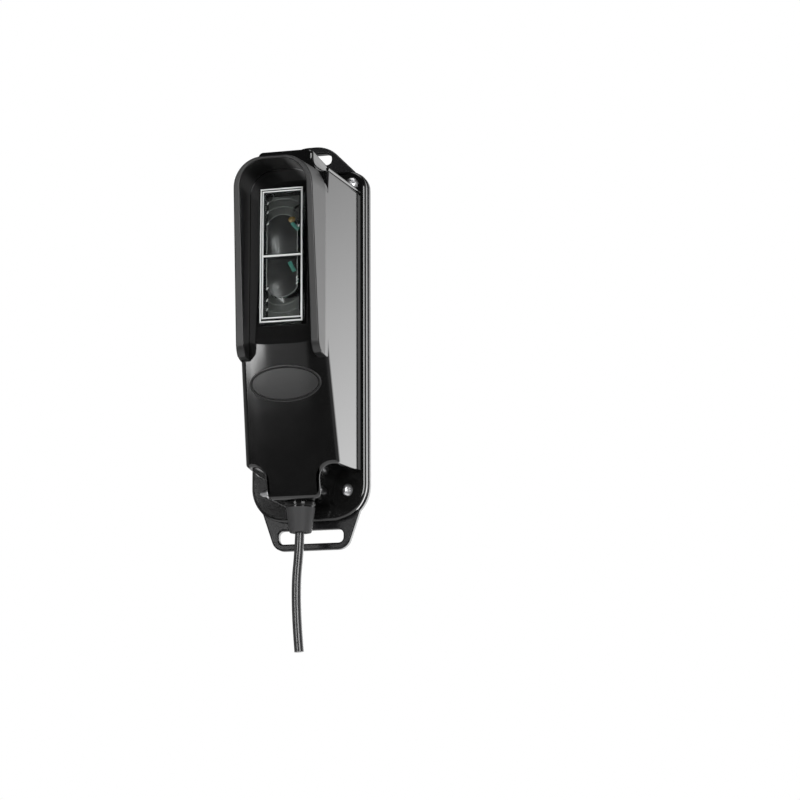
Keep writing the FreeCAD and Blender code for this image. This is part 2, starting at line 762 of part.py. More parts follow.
def board_components(doc, s):
    """Everything soldered to the board, emitter and receiver in front and the rest behind."""
    low, high = s.lens_centres
    behind = s.board_back
    capacitor = rod(doc, "smoothing_capacitor", -s.capacitor_offset, s.capacitor_rise, s.capacitor_diameter,
                    behind - s.capacitor_height, behind)
    return [
        rod(doc, "infrared_emitter", as_size(0), high, s.emitter_diameter, s.board_depth,
            s.board_depth + s.emitter_height),
        block(doc, "photodiode_receiver", as_size(0), low, s.receiver_side, s.receiver_side, s.board_depth,
              s.board_depth + s.receiver_height),
        pilot_lamp(doc, s),
        block(doc, "output_relay", as_size(0), -s.relay_drop, s.relay_width, s.relay_height,
              behind - s.relay_depth, behind),
        capacitor,
        block(doc, "controller_chip", s.chip_offset, s.chip_rise, s.chip_width, s.chip_height,
              behind - s.chip_depth, behind),
        block(doc, "voltage_regulator", s.regulator_offset, s.regulator_rise, s.regulator_width,
              s.regulator_height, behind - s.regulator_depth, behind),
        block(doc, "wire_connector", as_size(0), -s.connector_drop, s.connector_width, s.connector_height,
              behind - s.connector_reach, behind),
    ]


def board_screws(doc, s):
    """Two screws that hold the board against the housing's posts, driven from behind."""
    tip = s.board_back + s.board_screw_length
    return compound(doc, "board_screws", [
        screw(doc, "board_screw", as_size(0), z, tip, s.board_back, s.board_screw_head_height,
              s.board_screw_diameter, s.board_screw_head_diameter, heads_back=True)
        for z in (s.top_post_rise, -s.low_post_drop)])


# Gland, cable and leads

def cable_gland(doc, s):
    """Tapered rubber gland, snapped into the housing's bottom wall by its neck."""
    body = new_body(doc, "cable_gland")
    sketch = front_sketch(body, s.gland_depth)
    bore, outside, inside = s.gland_bore / 2, -s.body_drop, s.wall - s.body_drop
    flange_low = outside - s.gland_flange_height
    draw_outline(sketch, [
        (bore, -s.gland_drop), (s.gland_tip_diameter / 2, -s.gland_drop),
        (s.gland_root_diameter / 2, flange_low), (s.gland_flange_diameter / 2, flange_low),
        (s.gland_flange_diameter / 2, outside), (s.gland_neck_diameter / 2, outside),
        (s.gland_neck_diameter / 2, inside), (s.gland_inner_diameter / 2, inside),
        (s.gland_inner_diameter / 2, inside + s.gland_inner_height), (bore, inside + s.gland_inner_height)])
    revolve(body, sketch)
    return body


def strain_tie(doc, s):
    """Square clamp on the cable inside the housing, which stops it being pulled out of the gland."""
    body = new_body(doc, "strain_tie")
    low = s.wall - s.body_drop + s.gland_inner_height
    sketch = new_sketch(body, "XY_Plane", lift=low)
    side = s.gland_bore + 2 * s.tie_thickness
    draw_circle(sketch, as_size(0), -s.gland_depth, s.gland_bore)
    draw_outline(sketch, block_outline(as_size(0), -s.gland_depth, side, side))
    pad(body, sketch, s.tie_height)
    return body


def cable_path(points):
    """A wire of straight runs joined by tangent arcs as large as the runs allow, and the arcs' radii."""
    edges, radii, here = [], [], points[0]
    for before, corner, after in zip(points, points[1:], points[2:]):
        run = CABLE_ARC_SHARE * min((corner - before).Length, (after - corner).Length)
        back, ahead = (before - corner).normalize(), (after - corner).normalize()
        half = back.getAngle(ahead) / 2
        radius = run * math.tan(half)
        centre = corner + (back + ahead).normalize() * (run / math.cos(half))
        middle = centre + (corner - centre).normalize() * radius
        start, end = corner + back * run, corner + ahead * run
        edges += [Part.LineSegment(here, start).toShape(), Part.Arc(start, middle, end).toShape()]
        radii.append(radius)
        here = end
    edges.append(Part.LineSegment(here, points[-1]).toShape())
    return Part.Wire(edges), radii


def cable(doc, s):
    """Round cable from inside the gland to its cut end below the plate."""
    points = [Vector(x, -s.gland_depth.value - ahead, z) for x, ahead, z in CABLE_ROUTE]
    path, radii = cable_path(points)
    radius = s.cable_diameter.value / 2
    section = Part.Wire(Part.Circle(points[0], points[1] - points[0], radius).toShape())
    tube = path.makePipeShell([section], True, False)
    expected = math.pi * radius ** 2 * path.Length
    print("cable length", round(path.Length, 1), "radii", [round(r) for r in radii],
          "volume share", round(tube.Volume / expected, 4))
    node = doc.addObject("Part::Feature", "cable")
    node.Label = "cable"
    node.Shape = tube
    return node


def lead_wires(doc, s):
    """Four insulated cores from the end of the sheath up to the connector."""
    sheath_end = as_size(CABLE_ROUTE[0][2])
    height = -s.connector_drop - s.connector_height / 2 - sheath_end
    wires = []
    names = ("lead_supply_positive", "lead_supply_negative", "lead_relay_common", "lead_relay_contact")
    for name, (side_x, side_y) in zip(names, ((-1, -1), (1, -1), (-1, 1), (1, 1))):
        wire = doc.addObject("Part::Cylinder", name)
        wire.Label = name
        bind(wire, Radius=s.wire_diameter / 2, Height=height, Placement__Base__x=side_x * s.wire_pitch / 2,
             Placement__Base__y=side_y * s.wire_pitch / 2 - s.gland_depth, Placement__Base__z=sheath_end)
        wires.append(wire)
    return wires


def check(doc, nodes):
    """Stops if any object of the document failed or any node has no valid solid."""
    failed = [thing.Label for thing in doc.Objects if {"Invalid", "Error"} & set(thing.State)]
    failed += [node.Label for node in nodes
               if node.Shape.isNull() or not node.Shape.isValid() or not node.Shape.Solids]
    if failed:
        raise RuntimeError(f"failed: {failed}")


def main():
    """Builds the document and writes each node's shape."""
    doc = FreeCAD.newDocument("reflective_photocell")
    s = derive(make_sheet(doc))
    low, high = s.lens_centres
    nodes = [
        back_plate(doc, s), base_gasket(doc, s), housing(doc, s), cover_screws(doc, s),
        lens_window(doc, s), window_seal(doc, s), lens_carrier(doc, s),
        lens(doc, "emitter_lens", s, high), lens(doc, "receiver_lens", s, low),
        circuit_board(doc, s), *board_components(doc, s), board_screws(doc, s),
        cable_gland(doc, s), strain_tie(doc, s), cable(doc, s), *lead_wires(doc, s),
    ]
    doc.recompute()
    check(doc, nodes)
    os.makedirs("parts", exist_ok=True)
    for node in nodes:
        node.Shape.exportStep(os.path.join("parts", f"{node.Label}.step"))
        print(node.Label, len(node.Shape.Solids), round(node.Shape.Volume, 1))


main()
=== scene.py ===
"""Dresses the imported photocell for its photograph: finishes, small trim, cable, studio and camera.

Everything is in metres in the part's own frame: +Z up, the wall on Y = 0 and the front facing -Y.
"""
from __future__ import annotations

import json
import logging
import math
from dataclasses import dataclass
from enum import Enum
from typing import Any, Callable, Mapping, Sequence

import bmesh
import bpy
from mathutils import Matrix, Vector
from mathutils.bvhtree import BVHTree

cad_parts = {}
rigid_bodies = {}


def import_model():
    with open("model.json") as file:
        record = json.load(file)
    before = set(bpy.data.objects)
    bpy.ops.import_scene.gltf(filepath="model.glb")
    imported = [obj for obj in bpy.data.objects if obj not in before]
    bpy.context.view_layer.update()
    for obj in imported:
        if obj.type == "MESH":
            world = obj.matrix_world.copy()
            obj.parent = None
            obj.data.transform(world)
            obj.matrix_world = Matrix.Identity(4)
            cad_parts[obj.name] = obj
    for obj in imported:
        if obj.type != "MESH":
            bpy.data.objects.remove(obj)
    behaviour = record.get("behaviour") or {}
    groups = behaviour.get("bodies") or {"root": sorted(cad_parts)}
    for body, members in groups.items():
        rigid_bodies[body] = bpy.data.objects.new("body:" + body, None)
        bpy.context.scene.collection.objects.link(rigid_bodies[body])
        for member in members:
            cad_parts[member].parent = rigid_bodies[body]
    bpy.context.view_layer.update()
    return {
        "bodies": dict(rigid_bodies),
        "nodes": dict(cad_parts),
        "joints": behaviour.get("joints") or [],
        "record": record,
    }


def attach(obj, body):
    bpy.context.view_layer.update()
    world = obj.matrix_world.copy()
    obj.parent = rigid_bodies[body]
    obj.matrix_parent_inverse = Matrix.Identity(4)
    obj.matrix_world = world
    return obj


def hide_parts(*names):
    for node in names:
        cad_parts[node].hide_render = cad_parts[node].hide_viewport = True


LOG = logging.getLogger("photocell")
MM = 0.001
BODY = "root"
SMOOTH_ANGLE = math.radians(32)
EDGE_ANGLE = math.radians(38)
CREASE_ANGLE = math.radians(11)
HARD_ANGLE = math.radians(42)
FLAT_ANGLE = math.radians(0.4)
EASING_STEPS = 3
QUARTER_TURN = math.radians(90)
UPRIGHT = (QUARTER_TURN, 0.0, 0.0)
MERGE_DISTANCE = 0.002 * MM
PROBE_START = 0.05 * MM
BLUISH = 0.001
WHITE = (1.0, 1.0, 1.0, 1.0)
SCREW_PLACES = ((-17.2 * MM, 62.6 * MM), (17.2 * MM, 62.6 * MM),
                (-15.4 * MM, -58.6 * MM), (15.4 * MM, -58.6 * MM))
Spot = tuple[float, float]
Colour = tuple[float, float, float]
Place = tuple[float, float, float]
Four = tuple[float, float, float, float]
Thing = bpy.types.Object
Nodes = Mapping[str, Thing]
Form = bmesh.types.BMesh
Share = Callable[[Vector, Vector], float]
Shaping = Callable[[Form], None]
MADE: dict[str, bpy.types.Material] = {}


class Side(Enum):
    """The two sides of the part's plane of symmetry."""

    LEFT = -1
    RIGHT = 1


class Tier(Enum):
    """The window's two cells, by where they lie from the bar between them."""

    LOWER = -1
    UPPER = 1


def set_up(thing: Any, **values: Any) -> Any:
    """Sets properties of a Blender thing, in order, and returns it.

    Args:
        thing: The thing, such as a node or a modifier.
        values: Its properties by name.

    Returns:
        The same thing.
    """
    for name, value in values.items():
        setattr(thing, name, value)
    return thing


def frame_of(x: Vector, y: Vector, z: Vector, origin: Sequence[float]) -> Matrix:
    """The frame that has three axes and an origin.

    Args:
        x: First axis.
        y: Second axis.
        z: Third axis.
        origin: Where they meet.

    Returns:
        The frame as a matrix.
    """
    frame = Matrix((x, y, z)).transposed().to_4x4()
    frame.translation = Vector(origin)
    return frame


# Node graphs


def math_node(operation: str, swapped: bool = False) -> Callable[["Wire", Any], "Wire"]:
    """A method of a wire that adds one Math node.

    Args:
        operation: Blender's name of the operation.
        swapped: Whether the other operand, a wire or a number, comes first.

    Returns:
        The method, which returns the node's result.
    """
    def method(self: "Wire", other: Any) -> "Wire":
        """Adds the node to the wire's graph."""
        operands = {0: other, 1: self} if swapped else {0: self, 1: other}
        return self.graph.out("ShaderNodeMath", {"operation": operation}, operands)
    return method


class Wire:
    """An output socket that adds Math nodes to its graph when it is used in an expression."""

    def __init__(self, graph: "Graph", socket: bpy.types.NodeSocket) -> None:
        """Keeps the socket and the graph that it belongs to."""
        self.graph = graph
        self.socket = socket

    __add__ = __radd__ = math_node("ADD")
    __sub__ = math_node("SUBTRACT")
    __rsub__ = math_node("SUBTRACT", swapped=True)
    __mul__ = __rmul__ = math_node("MULTIPLY")
    __gt__ = math_node("GREATER_THAN")
    most = math_node("MAXIMUM")


class Graph:
    """A node tree that is built by one method."""

    def __init__(self, tree: bpy.types.NodeTree) -> None:
        """Starts from an empty tree."""
        self.tree = tree
        tree.nodes.clear()

    def node(self, kind: str, settings: Mapping[str, Any] | None = None,
             sockets: Mapping[Any, Any] | None = None) -> bpy.types.Node:
        """Adds a node, sets it up and feeds its sockets.

        Args:
            kind: Blender's name of the node type.
            settings: Properties of the node, set first.
            sockets: Values or wires by socket name or index; a list of wires for a socket that joins them.

        Returns:
            The new node.
        """
        node = set_up(self.tree.nodes.new(kind), **(settings or {}))
        for key, value in (sockets or {}).items():
            wires = value if isinstance(value, list) else [value]
            if isinstance(wires[0], Wire):
                for wire in wires:
                    self.tree.links.new(wire.socket, node.inputs[key])
            else:
                node.inputs[key].default_value = value
        return node

    def out(self, kind: str, settings: Mapping[str, Any] | None = None,
            sockets: Mapping[Any, Any] | None = None, result: Any = 0) -> Wire:
        """Adds a node and returns one of its outputs as a wire."""
        return Wire(self, self.node(kind, settings, sockets).outputs[result])

    def axes(self, vector: Wire) -> list[Wire]:
        """The three parts of a vector."""
        parts = self.node("ShaderNodeSeparateXYZ", None, {"Vector": vector})
        return [Wire(self, part) for part in parts.outputs]

    def point(self, x: Any = 0.0, z: Any = 0.0) -> Wire:
        """A place in the plane Y = 0."""
        return self.out("ShaderNodeCombineXYZ", None, {"X": x, "Z": z})

    def fade(self, value: Wire, start: float, end: float, low: float, high: float) -> Wire:
        """A smooth change from a low to a high level while a value goes from start to end."""
        return self.out("ShaderNodeMapRange", {"interpolation_type": "SMOOTHSTEP"}, {
            "Value": value, "From Min": start, "From Max": end, "To Min": low, "To Max": high})


class Surface(Graph):
    """A material's graph, read in the object's own coordinates."""

    def __init__(self, name: str) -> None:
        """Makes the material and its coordinates."""
        self.material = bpy.data.materials.new(name)
        self.material.use_nodes = True
        super().__init__(self.material.node_tree)
        self.place = self.out("ShaderNodeTexCoord", result="Object")

    def noise(self, scale: float, detail: float = 2.0, roughness: float = 0.5) -> Wire:
        """Noise from 0 to 1 with a number of features per metre."""
        return self.out("ShaderNodeTexNoise", None, {
            "Vector": self.place, "Scale": scale, "Detail": detail, "Roughness": roughness}, "Fac")

    def blend(self, factor: Any, first: Any, second: Any) -> Wire:
        """Mix of two colours."""
        rgba = [value if isinstance(value, Wire) else (*value, 1.0) for value in (first, second)]
        return self.out("ShaderNodeMix", {"data_type": "RGBA"}, {0: factor, 6: rgba[0], 7: rgba[1]}, 2)

    def bump(self, height: Wire, distance: float, strength: float) -> Wire:
        """Normal of a surface raised by a height."""
        return self.out("ShaderNodeBump", None, {
            "Height": height, "Distance": distance, "Strength": strength})

    def finish(self, sockets: Mapping[str, Any]) -> bpy.types.Material:
        """Ends the graph in a Principled shader.

        Args:
            sockets: Values and wires of the shader's sockets.

        Returns:
            The finished material.
        """
        shader = self.out("ShaderNodeBsdfPrincipled", None, sockets)
        self.node("ShaderNodeOutputMaterial", None, {"Surface": shader})
        return self.material


# Finishes


def grey(level: float, blue: float = 0.0) -> Colour:
    """A grey, with a little more blue where it is wanted."""
    return level, level, level + blue


def shaded(colour: Colour, share: float) -> Colour:
    """A colour made darker or lighter."""
    red, green, blue = colour
    return share * red, share * green, share * blue


@dataclass(frozen=True)
class Finish:
    """A finish that is made into a material once and then shared."""

    name: str

    def material(self) -> bpy.types.Material:
        """The finish's material, made on first use."""
        if self.name not in MADE:
            MADE[self.name] = self._make()
        return MADE[self.name]

    def _make(self) -> bpy.types.Material:
        """Builds the material."""
        raise NotImplementedError


@dataclass(frozen=True)
class Moulding(Finish):
    """Moulded plastic or rubber: a fine grain, faint flow marks and uneven polish.

    With those values set, it is rougher beyond a depth in front of the wall, and glossier above a height,
    where it is darkened as painted shade.
    """

    colour: Colour = (0.02, 0.02, 0.02)
    paler: Colour = (0.03, 0.03, 0.03)
    roughness: float = 0.3
    unevenness: float = 0.08
    grain: float = 2600.0
    grain_depth: float = 0.012 * MM
    grain_strength: float = 0.25
    flow: float = 90.0
    flow_detail: float = 3.0
    flow_roughness: float = 0.55
    grain_share: float = 0.5
    coat: float = 0.0
    coat_roughness: float = 0.2
    ior: float = 1.5
    textured_beyond: float = 0.0
    texture_roughness: float = 0.33
    collar_above: float = 0.0
    # Near-black colour above the height: painted shade.
    painted_collar_shade: Colour = (0.006, 0.006, 0.006)
    collar_polish: float = 0.4

    def _make(self) -> bpy.types.Material:
        """Builds the material."""
        s = Surface(self.name)
        fine, marks = s.noise(self.grain), s.noise(self.flow, self.flow_detail, self.flow_roughness)
        roughness = self.roughness + self.unevenness * (marks - 0.5 + self.grain_share * (fine - 0.5))
        colour = s.blend(marks, self.colour, self.paler)
        if self.textured_beyond:
            depth = -1.0 * s.axes(s.place)[1]
            roughness = roughness + self.texture_roughness * (depth > self.textured_beyond)
        # Above the height: painted shade in a near-black colour, and less roughness.
        if self.collar_above:
            above = s.axes(s.place)[2] > self.collar_above
            colour = s.blend(above, colour, self.painted_collar_shade)
            roughness = roughness - self.collar_polish * above
        return s.finish({
            "Base Color": colour,
            "Roughness": roughness,
            "Normal": s.bump(fine, self.grain_depth, self.grain_strength),
            "IOR": self.ior,
            "Coat Weight": self.coat,
            "Coat Roughness": self.coat_roughness,
        })


@dataclass(frozen=True)
class Clear(Finish):
    """Clear moulded plastic with faint ripples and a little haze."""

    tint: Colour = (0.95, 0.97, 0.97)
    roughness: float = 0.03
    haze: float = 0.05
    ripple: float = 260.0
    ripple_depth: float = 0.05 * MM
    ripple_strength: float = 0.15
    ripple_shade: float = 0.98
    ior: float = 1.49

    def _make(self) -> bpy.types.Material:
        """Builds the material."""
        s = Surface(self.name)
        waves = s.noise(self.ripple)
        return s.finish({
            "Base Color": s.blend(waves, self.tint, shaded(self.tint, self.ripple_shade)),
            "Roughness": self.roughness + self.haze * waves,
            "Normal": s.bump(waves, self.ripple_depth, self.ripple_strength),
            "IOR": self.ior,
            "Transmission Weight": 1.0,
        })


@dataclass(frozen=True)
class Metal(Finish):
    """Bright turned metal: fine tool marks and small dull spots."""

    colour: Colour = (0.75, 0.75, 0.76)
    roughness: float = 0.22
    scratch: float = 3200.0
    scratch_detail: float = 3.0
    scratch_roughness: float = 0.7
    scratch_depth: float = 0.01 * MM
    scratch_strength: float = 0.2
    spot: float = 700.0
    spot_shade: float = 0.8
    unevenness: float = 0.14

    def _make(self) -> bpy.types.Material:
        """Builds the material."""
        s = Surface(self.name)
        fine = s.noise(self.scratch, self.scratch_detail, self.scratch_roughness)
        spots = s.noise(self.spot)
        return s.finish({
            "Base Color": s.blend(spots, self.colour, shaded(self.colour, self.spot_shade)),
            "Roughness": self.roughness + self.unevenness * (spots - 0.5),
            "Metallic": 1.0,
            "Normal": s.bump(fine, self.scratch_depth, self.scratch_strength),
        })


@dataclass(frozen=True)
class SolderMask(Finish):
    """Green circuit board with copper tracks under its mask."""

    colour: Colour = (0.014, 0.125, 0.095)
    track: Colour = (0.030, 0.190, 0.145)
    pitch: float = 2.2 * MM
    track_share: float = 0.12
    track_depth: float = 0.03 * MM
    track_strength: float = 0.4
    cloud: float = 400.0
    cloud_shade: float = 1.2
    roughness: float = 0.32
    unevenness: float = 0.1

    def _make(self) -> bpy.types.Material:
        """Builds the material."""
        s = Surface(self.name)
        tracks = s.out("ShaderNodeTexBrick", {"offset": 0.5}, {
            "Vector": s.place, "Scale": 1.0 / self.pitch, "Mortar Size": self.track_share,
            "Color1": (0, 0, 0, 1), "Color2": (0, 0, 0, 1), "Mortar": (1, 1, 1, 1)}, "Fac")
        cloud = s.noise(self.cloud)
        mask = s.blend(cloud, self.colour, shaded(self.colour, self.cloud_shade))
        return s.finish({
            "Base Color": s.blend(tracks, mask, self.track),
            "Roughness": self.roughness + self.unevenness * cloud,
            "Normal": s.bump(tracks, self.track_depth, self.track_strength),
        })


class Finishes:
    """The finishes of the part's pieces, under the maker's words for them."""

    HOUSING = Moulding("semi_gloss_black", grey(0.004), grey(0.008), roughness=0.09, unevenness=0.05,
                       grain_strength=0.06, ior=1.6, textured_beyond=42.0 * MM)
    PAD = Moulding("satin_pad", grey(0.008), grey(0.013), roughness=0.42, ior=1.6)
    PLATE = Moulding("satin_black", grey(0.010, BLUISH), grey(0.015, BLUISH), roughness=0.27,
                     grain_strength=0.08, ior=1.36)
    SEAL = Moulding("black_seal_rubber", grey(0.010), grey(0.016), roughness=0.62, grain=4200.0,
                    grain_strength=0.05)
    # Its top band, above the collar height, is darkened as painted shade.
    GLAND = Moulding("grey_gland_rubber", grey(0.046, BLUISH), grey(0.062, BLUISH), roughness=0.56,
                     unevenness=0.12, grain=3800.0, grain_strength=0.2, ior=1.36, collar_above=-66.5 * MM)
    CARRIER = Moulding("matt_carrier", (0.070, 0.075, 0.070), (0.105, 0.111, 0.102), roughness=0.42)
    JACKET = Moulding("glossy_jacket", grey(0.012, BLUISH), grey(0.016, BLUISH), roughness=0.28,
                      unevenness=0.04, grain_strength=0.03, ior=1.7)
    WINDOW = Clear("clear_acrylic")
    LENS = Clear("clear_lens", (0.90, 0.93, 0.92), 0.02, 0.02)
    # Pale opaque finish of painted highlight, for the window's edges and the glints in its cells.
    HIGHLIGHT = Moulding("bright_window_edge", (0.78, 0.80, 0.79), (0.88, 0.90, 0.89), roughness=0.25, coat=0.6)
    # Real fine ridges and ejector marks; their pale grey is painted highlight.
    RIDGE_HIGHLIGHT = Moulding("frosted_ring", (0.16, 0.17, 0.165), (0.24, 0.25, 0.245), roughness=0.25, coat=0.5)
    # Opaque dark lens fronts: painted shade of the dark cell behind the clear lenses, glossy for their
    # highlights.
    LENS_SHADE = Moulding("smoked_lens", grey(0.034), (0.046, 0.046, 0.045), roughness=0.16, grain_strength=0.0,
                     ior=1.34)
    STEEL = Metal("bright_steel", roughness=0.36)
    BOARD = SolderMask("solder_mask")
    AMBER = Moulding("amber_resin", (0.16, 0.10, 0.025), (0.26, 0.175, 0.05), roughness=0.2, coat=0.6)
    EMITTER = Moulding("emitter_resin", (0.22, 0.24, 0.34), (0.28, 0.30, 0.40), roughness=0.15, coat=0.6)
    PILOT = Moulding("smoke_resin", (0.050, 0.053, 0.050), (0.070, 0.074, 0.070), roughness=0.4)
    RECEIVER = Moulding("filter_resin", (0.012, 0.010, 0.016), (0.020, 0.017, 0.026), roughness=0.2, coat=0.4)
    RELAY = Moulding("smoke_case", (0.05, 0.06, 0.08), (0.07, 0.08, 0.10), roughness=0.45)
    SLEEVE = Moulding("blue_sleeve", (0.03, 0.05, 0.16), (0.04, 0.07, 0.20), roughness=0.25, coat=0.5)
    CHIP = Moulding("chip_case", grey(0.018), grey(0.026), roughness=0.5)
    TERMINAL = Moulding("terminal_green", (0.04, 0.28, 0.11), (0.06, 0.33, 0.14), roughness=0.4)
    NYLON = Moulding("natural_nylon", (0.66, 0.65, 0.60), (0.74, 0.73, 0.68), roughness=0.42)
    RED = Moulding("red_insulation", (0.50, 0.03, 0.03), (0.58, 0.05, 0.04), roughness=0.3)
    BLACK = Moulding("black_insulation", grey(0.016), grey(0.024), roughness=0.3)
    WHITE = Moulding("white_insulation", (0.78, 0.78, 0.75), (0.84, 0.84, 0.82), roughness=0.3)
    YELLOW = Moulding("yellow_insulation", (0.68, 0.50, 0.03), (0.76, 0.58, 0.06), roughness=0.3)


# Mesh helpers


def link(obj: Thing) -> Thing:
    """Puts an object into the scene."""
    bpy.context.scene.collection.objects.link(obj)
    return obj


def new_object(name: str, mesh: bpy.types.Mesh) -> Thing:
    """A scene object of a mesh."""
    return link(bpy.data.objects.new(name, mesh))


def from_form(form: Form, name: str) -> Thing:
    """A scene object of a finished form, which is freed.

    Args:
        form: The form.
        name: Name of the object and its mesh.

    Returns:
        The object.
    """
    mesh = bpy.data.meshes.new(name)
    form.to_mesh(mesh)
    form.free()
    return new_object(name, mesh)


def smooth(mesh: bpy.types.Mesh) -> None:
    """Shades a mesh smooth, and sharp at its steep edges."""
    mesh.shade_smooth()
    mesh.set_sharp_from_angle(angle=SMOOTH_ANGLE)


def plain_mesh(obj: Thing) -> None:
    """Turns an object's modifiers into its own mesh.

    Args:
        obj: The object, whose modifiers are removed.
    """
    bpy.context.view_layer.update()
    evaluated = obj.evaluated_get(bpy.context.evaluated_depsgraph_get())
    mesh = bpy.data.meshes.new_from_object(evaluated)
    obj.modifiers.clear()
    obj.data = mesh


def modify(obj: Thing, kind: str, **values: Any) -> None:
    """Changes an object's mesh by a modifier, which is then removed.

    Args:
        obj: The object.
        kind: Blender's name of the modifier type.
        values: The modifier's settings.
    """
    set_up(obj.modifiers.new(kind, kind), **values)
    plain_mesh(obj)


def as_piece(obj: Thing, finish: Finish, slot: str, *nodes: str) -> Thing:
    """Gives a piece its finish and says what it rides on and stands for.

    Args:
        obj: The piece, in place.
        finish: Its finish.
        slot: Name of a material slot in the record; not used.
        nodes: CAD nodes that it stands for.

    Returns:
        The same piece.
    """
    obj.data.materials.clear()
    obj.data.materials.append(finish.material())
    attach(obj, BODY)
    if nodes:
        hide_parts(*nodes)
    LOG.info("%s dressed in %s", obj.name, finish.name)
    return obj


def mark_outer_edges(form: Form, share: Share) -> None:
    """Marks how far each edge that faces outwards is rounded.

    Args:
        form: Mesh whose edges get a bevel weight.
        share: Gives the share of the full rounding, from an edge's middle and the direction that it faces.
    """
    weight = form.edges.layers.float.new("bevel_weight_edge")
    walls = BVHTree.FromBMesh(form)
    for edge in form.edges:
        if edge.calc_face_angle_signed(0.0) < EDGE_ANGLE:
            continue
        middle = (edge.verts[0].co + edge.verts[1].co) / 2
        facing = (edge.link_faces[0].normal + edge.link_faces[1].normal).normalized()
        if walls.ray_cast(middle + PROBE_START * facing, facing)[0] is None:
            edge[weight] = share(middle, facing)


def mark_creases(form: Form, angle: float) -> None:
    """Shades faces smooth, and marks as sharp each edge above an angle.

    Args:
        form: The form.
        angle: The angle, in radians.
    """
    form.normal_update()
    for face in form.faces:
        face.smooth = True
    for edge in form.edges:
        edge.smooth = edge.calc_face_angle(0.0) <= angle


def mark_hard_edges(mesh: bpy.types.Mesh) -> None:
    """Marks as sharp each edge that is still steep after its neighbours were rounded.

    Args:
        mesh: The mesh.
    """
    form = bmesh.new()
    form.from_mesh(mesh)
    for edge in form.edges:
        if edge.calc_face_angle(0.0) > HARD_ANGLE:
            edge.smooth = False
    form.to_mesh(mesh)
    form.free()


def eased_copy(nodes: Nodes, node: str, name: str, easing: float,
               share: Share = lambda middle, facing: 1.0, shaping: Shaping | None = None) -> Thing:
    """A copy of a CAD node with its outer edges rounded, as a mould leaves them.

    Args:
        nodes: The frame's nodes.
        node: Name of the node to copy.
        name: Name of the copy.
        easing: Full width of the rounding along an edge.
        share: Gives the share of that width, from an edge's middle and the direction that it faces.
        shaping: Changes the merged copy before it is rounded.

    Returns:
        The copy, as a plain mesh.
    """
    mesh = nodes[node].data.copy()
    if "custom_normal" in mesh.attributes:
        mesh.attributes.remove(mesh.attributes["custom_normal"])
    form = bmesh.new()
    form.from_mesh(mesh)
    bmesh.ops.remove_doubles(form, verts=form.verts, dist=MERGE_DISTANCE)
    bmesh.ops.dissolve_limit(form, angle_limit=FLAT_ANGLE, verts=form.verts, edges=form.edges)
    if shaping:
        shaping(form)
    mark_outer_edges(form, share)
    mark_creases(form, CREASE_ANGLE)
    form.to_mesh(mesh)
    form.free()
    obj = new_object(name, mesh)
    modify(obj, "BEVEL", width=easing, segments=EASING_STEPS, limit_method="WEIGHT", use_clamp_overlap=False,
           miter_outer="MITER_ARC")
    mark_hard_edges(obj.data)
    modify(obj, "WEIGHTED_NORMAL", mode="FACE_AREA", weight=50, thresh=0.01, keep_sharp=True)
    return obj


def bridge(form: Form, rings: Sequence[Sequence[bmesh.types.BMVert]]) -> None:
    """Joins each ring of vertices to the next one, of which either may be a single point.

    Args:
        form: The form that gets the faces.
        rings: Its rings, in order.
    """
    for low, high in zip(rings, rings[1:]):
        steps = max(len(low), len(high))
        for i in range(steps):
            j = (i + 1) % steps
            corners = [low[i % len(low)], low[j % len(low)], high[j % len(high)], high[i % len(high)]]
            form.faces.new(list(dict.fromkeys(corners)))


def lathe(profile: Sequence[Spot], steps: int) -> Form:
    """Turns a profile of (radius, height) about Z into a closed solid.

    Args:
        profile: Points from the lower end on the axis to the upper end on the axis.
        steps: Facets round the axis.

    Returns:
        The solid's form.
    """
    form = bmesh.new()
    rings = []
    for radius, height in profile:
        turns = [2 * math.pi * i / steps for i in range(steps if radius > 0 else 1)]
        rings.append([form.verts.new((radius * math.cos(a), radius * math.sin(a), height)) for a in turns])
    bridge(form, rings)
    bmesh.ops.recalc_face_normals(form, faces=form.faces)
    return form


# Geometry node trees


